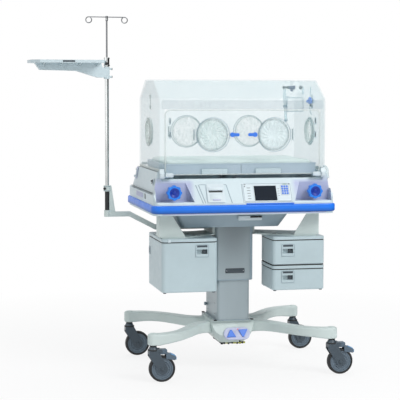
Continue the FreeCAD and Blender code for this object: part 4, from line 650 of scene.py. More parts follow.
class INCUBATOR_OT_casters(bpy.types.Operator):
    """Add thread guards, axle bolts, fork rings, brake treads and brake shoes to the casters"""
    bl_idname = "incubator.casters"
    bl_label = "Casters"

    def execute(self, context):
        guard = [(9, 8), (9, 12.6), (16, 13.6), (21, 12.2), (33, 11.4), (35, 13.4), (42, 13.8), (44.5, 12.6),
                 (44.5, 8)]
        for end, side_y in (("front", -1), ("back", 1)):
            for name, side_x in SIDES:
                where = end + "_" + name
                x, y = side_x * CASTER_X + AXLE_TRAIL, side_y * CASTER_Y
                discs, bolts = Shape(), Shape()
                for face in ("front", "back"):
                    centre = spot(x, y, AXLE_Z, face)
                    discs.turned(centre, guard, 40)
                    for spoke in range(5):
                        angle = 2 * math.pi * spoke / 5
                        rib = centre @ Matrix.Rotation(angle, 4, "Z") @ Matrix.Translation((27, 0, 11.2))
                        discs.plate(rib, 13, 5, 1.6, 2, 0.5)
                    bolts.turned(centre, [(11, 22.4), (11, 24.0), (9.5, 24.8), (7.6, 24.8)], 24)
                    bolts.sweep(centre, circle(7.2, 6), [(0, 24.6), (0, 27.4), (-1.2, 28.2)])
                discs.done("thread_guard_" + where, "core", "wheel_" + where, "caster_slate")
                bolts.done("axle_bolt_" + where, "slate", "caster_" + where)
                cap = Shape()
                cap.sweep(spot(side_x * CASTER_X, y, 150, "top"), circle(24.4, 36), bead(2.6, 6), closed=True)
                cap.done("fork_ring_" + where, "rubber", "caster_" + where)
                if side_y < 0:
                    slope = Matrix.Rotation(math.radians(26.2), 4, "Y")
                    top = spot(side_x * CASTER_X + 93, y, 126.7, "top") @ slope
                    tread = Shape().plate(top, 29, 32, 3.4, 5, 1.2)
                    for row in (-8, -2.5, 3, 8.5):
                        tread.plate(top @ Matrix.Translation((row, 0, 3.0)), 2.2, 24, 1.4, 1, 0.4)
                    tread.plate(spot(side_x * CASTER_X + 107, y, 112, "right"), 37, 15, 2.2, 4, 0.8)
                    tread.done("brake_tread_" + where, "lever_tip", "brake_" + where, "brake_blue")
                    shoe = Shape().plate(spot(side_x * CASTER_X + 47, y + 16, 144), 36, 24, 32, 5, 1.2)
                    shoe.done("brake_shoe_" + where, "lever", "brake_" + where)
        return {"FINISHED"}


class INCUBATOR_OT_column(bpy.types.Operator):
    """Add the bare plate, edge strip, hem, knob, screws, back cover and arm slots of the lifting column"""
    bl_idname = "incubator.column"
    bl_label = "Column"

    def execute(self, context):
        place = spot(4, -138, 491)
        plate = Shape().plate(place, 96, 24, 2.4, 4, 0.8)
        plate.sweep(place @ Matrix.Translation((0, 0, 2.2)), box_outline(90, 18, 3), bead(1.4, 1.0), closed=True)
        plate.done("column_plate", "plate", "lift")
        pins = Shape()
        for x in (-38, 46):
            pins.screw(spot(x, -140.4, 491), 2.4)
        pins.done("column_plate_pins", "steel", "lift")
        # a slightly darker strip along the right edge of the sleeve's front
        strip = Shape().plate(spot(85.5, -138, 612), 12, 330, 1.6, 3, 0.6)
        strip.done("sleeve_edge_strip", "pan", "lift", "column_metal")
        hem = Shape().sweep(spot(0, 0, 444, "top"), box_outline(184.4, 276.4, 16), bead(1.6, 5), closed=True)
        hem.done("sleeve_hem", "pan", "lift")
        knob = Shape().turned(spot(-81, 100, 295, "left"), [(6, 0), (6, 5), (9, 6), (9.5, 11), (7, 14), (3, 14.6)])
        knob.done("column_side_knob", "pan", "root")
        seams = Shape()
        for face, x, y in (("left", -81, 60), ("right", 81, 60)):
            for z in (272, 324):
                seams.screw(spot(x, y - 130, z, face), 3.4)
                seams.screw(spot(x, y + 20, z, face), 3.4)
        seams.done("column_side_screws", "steel", "root")
        back = Shape().plate(spot(0, 128, 302, "back"), 112, 68, 2.2, 8, 0.8)
        back.done("column_back_cover", "column", "root", "column_metal")
        back_pins = Shape()
        for x in (-48, 48):
            for z in (278, 326):
                back_pins.screw(spot(x, 130.2, z, "back"), 3.0)
        back_pins.done("column_back_screws", "steel", "root")
        slots = Shape()
        for x, y, turn in ((-214, -196, 0.5), (-190, -184, 0.5), (214, -196, -0.5), (190, -184, -0.5)):
            slots.plate(spot(x, y, 674, "top", turn), 20, 6, 0.7, 2.8, 0.2)
        slots.done("cross_arm_slots", "rubber", "lift")
        return {"FINISHED"}


class INCUBATOR_OT_cabinets(bpy.types.Operator):
    """Add the pull frames with their bare labels and painted shadows, the feet, the clip, and the dark seals of the
    drawers, which stand as painted shade in the gaps under the lids
    """
    bl_idname = "incubator.cabinets"
    bl_label = "Cabinets"

    def execute(self, context):
        drawers = (
            ("drawer_left", -225, 639, -370, -132, -258, 62, 411, True),
            ("drawer_right_upper", 200, 632, 173, 403, -258, -72, 532, False),
            ("drawer_right_lower", 200, 503, 173, 403, -258, -72, 408, True),
        )
        for body, x, top, x0, x1, y0, y1, bottom, feet in drawers:
            z = top - 30
            frame_place = spot(x + 33, PULL_FRONT, z)
            rim = Shape().sweep(frame_place, box_outline(63, 57, 3), bead(1.6, 0.9), closed=True)
            rim.done(body + "_pull_frame", "pan", body, "cabinet_plastic")
            label = Shape().plate(spot(x + 33, PULL_FRONT, top - 8), 50, 9, 1.0, 1.5, 0.3)
            label.done(body + "_label_plate", "plate", body)
            # painted shadow: a dark plate on the right of each pull's pocket, where its inside is in shade
            catch = Shape().plate(spot(x + 47, -262.2, z - 4), 22, 19, 5.0, 3, 1.4)
            catch.plate(spot(x + 47, -267.2, z - 9), 16, 5, 1.6, 1.2, 0.5)
            catch.done(body + "_pull_shadow_plate", "plate", body)
            hood = Shape().plate(spot(x + 33, PULL_FRONT, z + 9.6), 52, 4, 2.2, 1.6, 0.8)
            hood.done(body + "_pull_lip", "cabinet", body, "cabinet_plastic")
            if feet:
                pads = Shape()
                for px in (x0, x1):
                    for py in (y0, y1):
                        pads.turned(spot(px, py, bottom, "under"), [(8, 0), (8, 2.6), (6.5, 4.4)], 20)
                pads.done(body + "_feet", "plate", body)
        # painted shade: dark beads in the gaps under the lids and between the right drawers
        gasket = Shape()
        rims = ((-251, -98, 264, 346, (648.8,)), (288, -163, 256, 216, (648.8, 527, 507.8)))
        for x, y, wide, deep, heights in rims:
            for z in heights:
                gasket.sweep(spot(x, y, z, "top"), box_outline(wide, deep, 17), bead(4, 4.2), closed=True)
        gasket.done("lid_gap_shade_seals", "rubber", "lift")
        clip = Shape().plate(spot(-351, -274, 659), 13, 15, 3, 2, 1)
        clip.plate(spot(-351, -277, 664), 9, 3, 1.4, 1, 0.4)
        clip.done("cabinet_lid_clip", "white", "lift")
        grip = Shape().plate(spot(-386, 40, 582, "left"), 34, 40, 1.6, 5, 0.6)
        grip.sweep(spot(-387.6, 40, 582, "left"), box_outline(26, 32, 4), bead(1.6, 1.0), closed=True)
        grip.done("drawer_left_side_plate", "pan", "drawer_left")
        bits = Shape()
        for row in (-8, 0, 8):
            bits.plate(spot(-387.4, 40, 582 + row, "left"), 20, 3.4, 1.0, 1.4, 0.3)
        bits.done("drawer_left_side_slots", "plate", "drawer_left")
        stops = Shape()
        for x in (-352, 362):
            for row in (0, 14, 28):
                stops.screw(spot(x - 10 + row * 0.6, -240 + row, 674.5, "top"), 3.0)
        stops.done("bracket_foot_screws", "steel", "lift")
        return {"FINISHED"}


class INCUBATOR_OT_housing(bpy.types.Operator):
    """Add the hood catches, sockets, louvres, seams and rear covers of the housing"""
    bl_idname = "incubator.housing"
    bl_label = "Housing"

    def execute(self, context):
        for name, side in SIDES:
            self.end_fittings(name, side)
        seam = Shape()
        for x_low, x_high in ((-204, -232), (-192, -218), (-64, -84)):
            run = [(x_low - 1.9, 2), (x_low + 1.9, 2), (x_high + 1.9, 98), (x_high - 1.9, 98)]
            seam.sweep(on_slope(0, 0), soft_outline(run, 1.0), slab(0.5, 0.2))
        seam.plate(on_slope(-150, 99), 132, 2.4, 0.5, 0.8, 0.2)
        seam.done("housing_seams", "pan", "lift")
        trim = Shape().plate(spot(121.5, -352, 836.6), 236, 6.4, 2.6, 2.4, 1.0)
        trim.done("panel_blue_trim", "key", "lift")
        # painted shade: a lilac strip under the bumper, standing for the shade beneath the rail
        under_bumper_shade = Shape().plate(spot(0, -352, 791.6), 800, 5, 1.6, 2, 0.6)
        under_bumper_shade.done("bumper_underside_shade_strip", "louvre", "lift")
        self.back_covers()
        pan = Shape().plate(spot(51, -232, 759.5), 117, 23, 16, 4, 2)
        pan.done("pan_switch_box", "white", "lift")
        Shape().plate(spot(80, -248, 765), 58, 9, 1.4, 2, 0.5).done("pan_switch_slot", "rubber", "lift")
        return {"FINISHED"}

    def end_fittings(self, name, side):
        x = side * 440
        grille = Shape().plate(spot(x, 18, 862, name), 170, 24, 2.4, 4, 1)
        for row in range(9):
            grille.plate(spot(x + side * 2.2, 18 + (row - 4) * 17, 862, name), 10, 17, 1.4, 2, 0.5)
        grille.done("end_louvre_" + name, "louvre", "lift")
        slot = Shape().plate(spot(x, -135, 862, name), 9, 26, 1.2, 3, 0.4)
        slot.plate(spot(x, -108, 862, name), 3, 26, 1.0, 1, 0.3)
        slot.done("end_slot_" + name, "plate", "lift")
        slope = Matrix.Rotation(-END_LEAN, 4, "X")
        knob_place = spot(side * 427, -252, 940, name) @ slope
        knob = Shape().plate(knob_place, 15, 22, 4, 5, 1.2)
        knob.turned(knob_place @ Matrix.Translation((0, 3, 3.6)), [(4.4, 0), (4.4, 4), (3, 6.4)], 20)
        knob.done("end_latch_" + name, "plate", "lift")
        rim = Shape().plate(knob_place @ Matrix.Translation((0, 0, -1.2)), 25, 32, 2.6, 7, 1)
        rim.done("end_latch_plate_" + name, "white", "lift")
        ledge = Shape()
        ledge.plate(spot(side * 436, -6, 888.2, "top"), 7, 560, 1.2, 2.4, 0.4)
        ledge.done("ledge_seal_" + name, "plate", "lift")
        seat = Shape().plate(spot(side * 411.5, -46, 988, "top"), 4.2, 490, 1.6, 1.6, 0.6)
        seat.done("hood_seat_seal_" + name, "plate", "lift")
        place = spot(side * 421, 205, 958, name) @ slope
        hook = [(-16, -26), (-8, -26), (-8, 10), (10, 10), (10, 20), (-16, 20)]
        if side < 0:
            hook = [(-px, py) for px, py in reversed(hook)]
        catch = Shape().sweep(place, soft_outline(hook, 2.4), slab(7, 1.4))
        catch.turned(place @ Matrix.Translation((12 * side, -20, 0)), [(6, 0), (6, 8), (4.4, 9.6)], 24)
        catch.done("hood_catch_" + name, "white", "lift")
        # painted shade: a lilac plate round each hood catch
        shade = Shape().plate(place @ Matrix.Translation((0, -2, -0.8)), 40, 58, 2.0, 6, 0.8)
        shade.done("hood_catch_shade_plate_" + name, "louvre", "lift")

    def back_covers(self):
        cover = Shape().plate(spot(-150, BACK_WALL, 836, "back"), 250, 74, 5, 10, 2)
        for row in range(11):
            cover.plate(spot(-150, 342, 808 + row * 5.4, "back"), 206, 2.6, 1.6, 1.2, 0.5)
        cover.done("filter_cover", "white", "lift")
        screws = Shape()
        for x in (-262, -38):
            for z in (808, 864):
                screws.screw(spot(x, 342, z, "back"), 3.6)
        for x in (120, 260):
            screws.screw(spot(x, 339.6, 858, "back"), 3.0)
        screws.done("back_screws", "steel", "lift")
        inlet = Shape().plate(spot(190, BACK_WALL, 858, "back"), 170, 46, 2.6, 5, 1)
        inlet.done("inlet_plate", "pan", "lift")
        socket = Shape()
        socket.sweep(spot(165, 339.6, 858, "back"), box_outline(48, 26, 5), bead(4, 5), closed=True)
        for x in (155, 165, 175):
            socket.plate(spot(x, 339.8, 858, "back"), 2.4, 8, 3, 1, 0.4)
        socket.plate(spot(222, 339.6, 858, "back"), 22, 28, 4, 3, 1.4)
        socket.done("mains_inlet", "rubber", "lift")
        ports = Shape()
        for x in (20, 48, 76):
            ports.turned(spot(x, BACK_WALL, 858, "back"), [(11, 0), (11, 5), (8, 6), (8, 3), (3, 3)], 28)
        ports.done("sensor_sockets", "plate", "lift")


class INCUBATOR_OT_controls(bpy.types.Operator):
    """Add the display border, bare marks, lamps, handwheel caps and the reservoir's fittings"""
    bl_idname = "incubator.controls"
    bl_label = "Controls"

    def execute(self, context):
        low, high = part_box("display_screen")
        x = ((low.x + high.x) / 2 - AXIS.x) / MM
        width = (high.x - low.x) / MM
        Shape().sweep(on_panel(x, 49.5), box_outline(width + 5, 82, 4), bead(4, 1.2), closed=True).done(
            "screen_border", "white", "lift", "panel_white")
        edge = Shape().sweep(on_panel(113, 54), box_outline(232, 91, 5), bead(1.8, 0.5), closed=True)
        edge.sweep(on_panel(200.5, 65.5), box_outline(41, 53, 3), bead(1.2, 0.4), closed=True)
        edge.done("panel_outline", "pan", "lift")
        marks = Shape()
        for row in range(5):
            marks.plate(on_panel(22, 22 + row * 14), 16, 2.2, 0.5, 0.8, 0.2)
        marks.plate(on_panel(6, 95), 9, 3, 0.6, 1.2, 0.2)
        marks.turned(on_panel(4, 86), [(2.6, 0), (2.6, 0.8), (1.8, 1.2)], 16)
        marks.plate(on_panel(223, 96), 7, 3, 0.6, 1.2, 0.2)
        for row in range(4):
            marks.plate(on_panel(169, 36 + row * 12), 9, 1.6, 0.5, 0.6, 0.2)
        marks.done("panel_marks", "plate", "lift")
        lamps = Shape()
        for row in (0, 1, 2):
            lamps.turned(on_panel(196 + row * 7, 96), [(2.0, 0), (2.0, 1.0), (1.0, 1.8)], 16)
        lamps.done("panel_lamps", "green", "lift")
        for name, side in SIDES:
            place = spot(side * 343, -349, 893)
            cap = Shape().turned(place, [(13.0, 0.4), (14.6, 1.6), (20.8, 8.6), (22.4, 9.0), (23.6, 8.4),
                                         (23.6, 9.4), (22.2, 10.0), (20.0, 9.2), (13.4, 2.4), (8.6, 1.6), (7.8, 4.2),
                                         (5.2, 5.2), (1.2, 5.4)][::-1], 40)
            cap.done("handwheel_cap_" + name, "handwheel_cap", "knob_" + name, "knob_blue")
            skirt = Shape().sweep(spot(side * 343, -314, 893), circle(24, 40), bead(3.4, 2.2), closed=True)
            skirt.done("handwheel_ring_" + name, "white", "lift")
        slot_place = on_slope(RESERVOIR_X, 61, 5.0)
        slit = Shape().plate(slot_place @ Matrix.Translation((0, 0, -2.6)), 66, 8, 0.8, 1, 0.2)
        slit.done("reservoir_slot", "rubber", "reservoir")
        lip = Shape().plate(on_slope(RESERVOIR_X, 75, 6.0), 74, 15, 3.0, 3, 1.2)
        lip.plate(on_slope(RESERVOIR_X, 33, 6.0), 60, 32, 0.8, 3, 0.3)
        lip.done("reservoir_grip", "white", "reservoir", "panel_white")
        tag = Shape().plate(on_slope(RESERVOIR_X, 17, 6.6), 38, 9, 0.6, 1.5, 0.2)
        tag.done("reservoir_tag", "louvre", "reservoir")
        return {"FINISHED"}


class INCUBATOR_OT_bed(bpy.types.Operator):
    """Add the grips, the seam and the rim of the bassinet"""
    bl_idname = "incubator.bed"
    bl_label = "Bassinet"

    def execute(self, context):
        grips, lines = Shape(), Shape()
        for side in (-1, 1):
            place = spot(side * 132, -272, 987)
            grips.plate(place, 126, 24, 3.2, 4, 1.4)
            grips.sweep(place @ Matrix.Translation((0, 0, 3.0)), box_outline(112, 13, 4), bead(1.8, 1.2), closed=True)
            lines.sweep(place, box_outline(129, 27, 5), bead(2.0, 1.6), closed=True)
        grips.done("bassinet_grips", "white", "bed", "bed_plastic")
        lines.done("bassinet_grip_lines", "pan", "bed")
        seam = Shape().plate(spot(0, -264, 998), 2.2, 42, 0.6, 0.8, 0.2)
        seam.plate(spot(0, 172, 998, "back"), 2.2, 42, 0.6, 0.8, 0.2)
        seam.done("bassinet_seam", "plate", "bed")
        low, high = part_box("bed_tray")
        wide, deep = (high.x - low.x) / MM, 436
        rim = Shape().sweep(spot(0, -46, 1019.6, "top"), box_outline(wide + 1, deep + 1, 18), bead(6, 4.4),
                            closed=True)
        rim.done("bassinet_rim", "tray", "bed", "bed_plastic")
        return {"FINISHED"}


class INCUBATOR_OT_mattress(bpy.types.Operator):
    """Fill the mattress by a short cloth simulation and add its welded edge"""
    bl_idname = "incubator.mattress"
    bl_label = "Mattress"

    def execute(self, context):
        low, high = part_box("mattress")
        middle = (low + high) / 2 - Vector((AXIS.x, AXIS.y, 0))
        span = (high - low) / MM
        inset = 5.0
        outline = box_outline(span.x - 2 * inset, span.y - 2 * inset, 26)
        tall = span.z
        place = spot(middle.x / MM, middle.y / MM, low.z / MM, "top")
        section = [(-9, 0), (-3, 1.5), (0, 6), (0, tall - 20), (-3, tall - 12), (-10, tall - 8)]
        pad = Shape().sweep(place, outline, section).done("mattress_pad", "cover", "bed", "mattress_cover", 180)
        remesh = pad.modifiers.new("remesh", "REMESH")
        remesh.mode = "VOXEL"
        remesh.voxel_size = 0.006
        remesh.use_smooth_shade = True
        self.apply(context, pad)
        self.fill(context, pad, low, high)
        smooth = pad.modifiers.new("smooth", "SUBSURF")
        smooth.levels = smooth.render_levels = 1
        self.apply(context, pad)
        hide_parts("mattress")
        self.welt(pad, low, high)
        return {"FINISHED"}

    def apply(self, context, pad):
        """Leave the shape that the modifiers give, and no modifier."""
        shown = pad.evaluated_get(context.evaluated_depsgraph_get())
        mesh = bpy.data.meshes.new_from_object(shown)
        pad.modifiers.clear()
        pad.data = mesh
        mesh.shade_smooth()

    def fill(self, context, pad, low, high):
        most = context.scene.incubator_sizes.mattress_swell
        rest = [vertex.co.copy() for vertex in pad.data.vertices]
        cloth = pad.modifiers.new("cloth", "CLOTH")
        cloth.settings.use_pressure = True
        cloth.settings.uniform_pressure_force = 4.0
        cloth.settings.effector_weights.gravity = 0.0
        cloth.collision_settings.use_collision = False
        cloth.point_cache.frame_start = 1
        cloth.point_cache.frame_end = 20
        for step in range(1, 21):
            context.scene.frame_set(step)
        self.apply(context, pad)
        context.scene.frame_set(1)
        if len(pad.data.vertices) != len(rest):
            raise RuntimeError("the mattress lost its shape in the simulation")
        for vertex, start in zip(pad.data.vertices, rest):
            move = vertex.co - start
            if move.length > most:
                move *= most / move.length
            point = start + move
            for i in range(3):
                point[i] = min(max(point[i], low[i]), high[i])
            vertex.co = point

    def welt(self, pad, low, high):
        """Lay the welded edge on the filled mattress."""
        surface = BVHTree.FromPolygons([vertex.co for vertex in pad.data.vertices],
                                       [face.vertices for face in pad.data.polygons])
        radius = bpy.context.scene.incubator_sizes.piping
        points = []
        centre = (low + high) / 2
        z = high.z - 0.016
        outline = soft_outline([(low.x, low.y), (high.x, low.y), (high.x, high.y), (low.x, high.y)], 0.03)
        for i, (point, out) in enumerate(outline):
            following = outline[(i + 1) % len(outline)][0]
            steps = 12 if (following - point).length > 0.1 else 1
            for step in range(steps):
                flat = point.lerp(following, step / steps)
                start = Vector((flat.x, flat.y, z)) + Vector((out.x, out.y, 0)) * 0.02
                toward = Vector((centre.x, centre.y, z)) - start
                hit = surface.ray_cast(start, toward.normalized())[0]
                if hit is None:
                    raise RuntimeError("the mattress's edge was not found")
                points.append(hit)
        line = bpy.data.curves.new("mattress_welt", "CURVE")
        line.dimensions = "3D"
        line.bevel_depth = radius
        line.bevel_resolution = 3
        spline = line.splines.new("BEZIER")
        spline.bezier_points.add(len(points) - 1)
        for knot, point in zip(spline.bezier_points, points):
            knot.co = point
            knot.handle_left_type = knot.handle_right_type = "AUTO"
        spline.use_cyclic_u = True
        welt = bpy.data.objects.new("mattress_welt", line)
        bpy.context.scene.collection.objects.link(welt)
        line.materials.append(finish["cover"])
        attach(welt, "bed")


class INCUBATOR_OT_hood(bpy.types.Operator):
    """Add the seals, catches, port cuffs and iris sleeves of the hood"""
    bl_idname = "incubator.hood"
    bl_label = "Hood"

    def execute(self, context):
        low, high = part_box("front_door")
        self.top = high.z / MM
        width = context.scene.incubator_sizes.seal_width / MM
        bottom = low.z / MM + 15
        place = spot(0, DOOR_FRONT, (bottom + self.top) / 2)
        seal = Shape().sweep(place, box_outline(754, self.top - bottom - 6, 25), bead(width, 1.4), closed=True)
        seal.done("door_seal", "seal", "front_door", "clear_hood")
        band = Shape().plate(spot(0, DOOR_FRONT, (self.top + 1326) / 2), 790, 1322 - self.top, 0.8, 8, 0.3)
        band.done("hood_front_band", "band", "hood", "clear_hood")
        for name, side in SIDES:
            self.door_fittings(name, side)
            self.ports(name, side)
            self.end_wall(name, side)
        rail = Shape().plate(spot(0, HOOD_BACK, 1003, "back"), 790, 12, 1.6, 3, 0.6)
        rail.done("hood_back_rail", "seal", "hood", "clear_hood")
        return {"FINISHED"}

    def door_fittings(self, name, side):
        hinge = Shape().plate(spot(side * 360, -313, 974), 38, 19, 9.0, 5, 1.6)
        hinge.done("door_hinge_cover_" + name, "white", "front_door", "ring_white")
        block = Shape().plate(spot(side * 394, -313, 974), 20, 19, 9.0, 5, 1.6)
        block.done("post_hinge_cover_" + name, "white", "hood", "ring_white")
        catch = Shape()
        for z in (1225, 1160):
            catch.plate(spot(side * 355, DOOR_FRONT, z), 11, 34, 4, 4, 1.2)
        catch.done("door_catch_" + name, "tube", "front_door")
        marks = Shape()
        for z in (1225, 1160):
            marks.plate(spot(side * 355, -307, z), 4, 20, 1.0, 1.6, 0.3)
            marks.screw(spot(side * 355, -307, z + 13), 1.8)
        marks.done("door_catch_marks_" + name, "plate", "front_door")

    def ports(self, name, side):
        for where, x, y, face, body in (("front", 150, DOOR_FRONT, "front", "front_door"),
                                        ("rear", 164, HOOD_BACK, "back", "hood")):
            place = spot(side * x, y, 1162, face)
            inside = place @ Matrix.Translation((0, 0, -2.8))
            film = "thin_film" if where == "rear" else "milky" if name == "left" else "gathered"
            self.cuff("port_cuff_" + where + "_" + name, inside, 71.0, body, film)
            seat = Shape().sweep(place, circle(74.5, 56), [(-2.0, -5.6), (2.0, -5.6), (2.0, -5.0), (-1.6, -5.0),
                                                           (-1.6, -0.4), (-2.0, -0.4)], closed=True)
            seat.done("port_gasket_" + where + "_" + name, "seal", body)
            door = "port_" + where + "_" + name
            rim = Shape().sweep(place @ Matrix.Translation((0, 0, 11.2)), circle(80.4, 56), bead(2.2, 1.0),
                                closed=True)
            rim.done("port_rim_" + where + "_" + name, "pan", door, "clear_port")

    def cuff(self, name, place, radius, body, film):
        """Gathered film across a port: pleats that run to a closed middle."""
        pleat = bpy.context.scene.incubator_sizes.cuff_pleat / MM
        cuff = Shape()
        rings = []
        spokes = 96
        for r in (1.0, 0.86, 0.7, 0.52, 0.34, 0.18, 0.06):
            ring = []
            for i in range(spokes):
                angle = 2 * math.pi * i / spokes
                fade = math.sin(math.pi * min(1.0, (1.0 - r) * 1.4 + 0.02))
                wave = math.sin(angle * 17 + r * 5) + 0.6 * math.sin(angle * 29 - r * 9) + 0.4 * math.sin(angle * 5)
                height = pleat * wave * fade * 0.7 - 9.0 * (1.0 - r) ** 2
                swirl = angle + 0.5 * (1.0 - r)
                point = place @ Vector((radius * r * math.cos(swirl), radius * r * math.sin(swirl), height))
                ring.append(cuff.mesh.verts.new(point))
            rings.append(ring)
        for outer, inner in zip(rings, rings[1:]):
            for i in range(spokes):
                j = (i + 1) % spokes
                cuff.mesh.faces.new((outer[i], outer[j], inner[j], inner[i]))
        cuff.mesh.faces.new(rings[-1])
        sheet = cuff.done(name, film, body, "clear_port", 180)
        thick = sheet.modifiers.new("thick", "SOLIDIFY")
        thick.thickness = CUFF_FILM

    def end_wall(self, name, side):
        place = spot(side * HOOD_END, -46.5, 1170, name)
        self.cuff("end_sleeve_" + name, place @ Matrix.Translation((0, 0, 4.0)), 55.0, "hood", "thin_film")
        ring = Shape().sweep(place @ Matrix.Translation((0, 0, 4.8)), circle(64, 56), bead(4, 1.6), closed=True)
        ring.done("end_ring_bead_" + name, "seal", "hood", "ring_white")
        grommets = Shape()
        for y, z in ((-84, 1340), (-84, 1290)):
            hole = spot(side * HOOD_END, y, z, name)
            grommets.sweep(hole, circle(9, 28), bead(5, 3.4), closed=True)
            grommets.turned(hole, [(6, 0), (6, 1.4), (4, 2.0)], 24)
        grommets.plate(spot(side * HOOD_END, -84, 1315, name), 8, 26, 2.4, 3, 0.8)
        grommets.done("tube_grommets_" + name, "seal", "hood", "ring_white")
        foot = Shape().plate(spot(side * HOOD_END, -46.5, 996, name), 500, 12, 1.6, 3, 0.6)
        foot.done("hood_foot_seal_" + name, "seal", "hood", "clear_hood")


class INCUBATOR_OT_sensors(bpy.types.Operator):
    """Add the air sensor, its clear tube and carrier box, the plug in the right wall and the gas elbow"""
    bl_idname = "incubator.sensors"
    bl_label = "Sensors"

    def execute(self, context):
        y = -94
        along = spot(0, y, 1385, "right")
        body = Shape().turned(along @ Matrix.Translation((0, 0, 283)), [(7, 0), (8.5, 2), (8.5, 20), (10, 22),
                                                                        (10, 30), (7, 33)], 28)
        body.turned(spot(299, y, 1378, "under"), [(8, 0), (8, 6), (5, 12)], 24)
        body.done("sensor_body", "navy", "hood")
        tip = Shape().turned(along @ Matrix.Translation((0, 0, 252)), [(4, 0), (6.5, 1.5), (6.5, 12), (5, 14), (5, 24),
                                                                       (7.4, 26), (7.4, 32)], 28)
        tip.turned(spot(342, y - 8, 1385), [(9, 0), (9, 5), (6, 7)], 24)
        tip.done("sensor_tip", "rubber", "hood")
        hanger = Shape().plate(spot(300, y, 1416, "under"), 70, 26, 6, 4, 1.2)
        hanger.plate(spot(296, y - 5, 1402), 10, 30, 10, 3, 1)
        hanger.plate(spot(342, y - 2, 1398), 12, 38, 8, 3, 1)
        hanger.done("sensor_hanger", "clear_port", "hood", "ring_white")
        radius = context.scene.incubator_sizes.hose / MM
        tube("sensor_tube", [(262, y, 1376), (262, y, 1340), (266, y, 1300), (270, y, 1222)], radius, "tube", "hood")
        band = Shape().turned(spot(265, y, 1288, "top"), [(9.2, 0), (9.2, 10), (8.2, 11)], 28)
        band.turned(spot(270, y, 1218, "top"), [(6, 0), (8.6, 2), (8.6, 10)], 28)
        band.done("sensor_tube_bands", "pan", "hood")
        carrier = Shape()
        for z in (1336, 1268):
            carrier.plate(spot(312, y - 14, z), 86, 3, 3, 1.2, 0.6)
        for x in (271, 353):
            carrier.plate(spot(x, y - 14, 1302), 3, 68, 3, 1.2, 0.6)
        carrier.done("sensor_carrier_rails", "pan", "hood")
        box = Shape().plate(spot(312, y - 2, 1302), 84, 68, 12, 4, 1.4)
        box.plate(spot(342, y - 6, 1354), 26, 24, 12, 3, 1)
        box.done("sensor_carrier", "clear_port", "hood")
        links = Shape().plate(spot(276, y - 6, 1338), 18, 6, 5, 2, 0.8)
        links.plate(spot(276, y - 6, 1268), 18, 6, 5, 2, 0.8)
        links.plate(spot(355, y - 2, 1370), 8, 40, 6, 2, 0.8)
        links.done("sensor_brackets", "tube", "hood", "ring_white")
        tube("pressure_tube", [(396, y, 1389), (394, y, 1330), (393, y, 1282), (397, y, 1262), (401, y, 1252)], 3.2,
             "tube", "hood")
        plug = Shape().turned(spot(401, y, 1318, "left"), [(10, 0), (13, 3), (13, 13), (9, 17), (6, 26)], 28)
        plug.plate(spot(388, y - 12, 1332), 14, 12, 6, 3, 1.2)
        plug.done("wall_plug", "key", "hood")
        nut = Shape().turned(spot(401, y - 2, 1298, "left"), [(5, 0), (6, 2), (6, 8), (4, 9)], 24)
        nut.done("wall_plug_nut", "rubber", "hood")
        Shape().turned(spot(HOOD_END, y, 1318, "right"), [(12, 0), (12, 3), (9, 5), (9, 9), (7, 10)], 28).done(
            "wall_plug_seat", "white", "hood", "ring_white")
        elbow = tube("gas_elbow", [(412, -262, 1004), (418, -268, 1004), (424, -276, 996), (426, -280, 976),
                                   (426, -281, 962)], 6.5, "tube", "lift")
        elbow.data.resolution_u = 16
        Shape().turned(spot(426, -281, 950, "top"), [(9, 0), (9, 8), (7.5, 12)], 28).done(
            "gas_elbow_seat", "white", "lift")
        return {"FINISHED"}


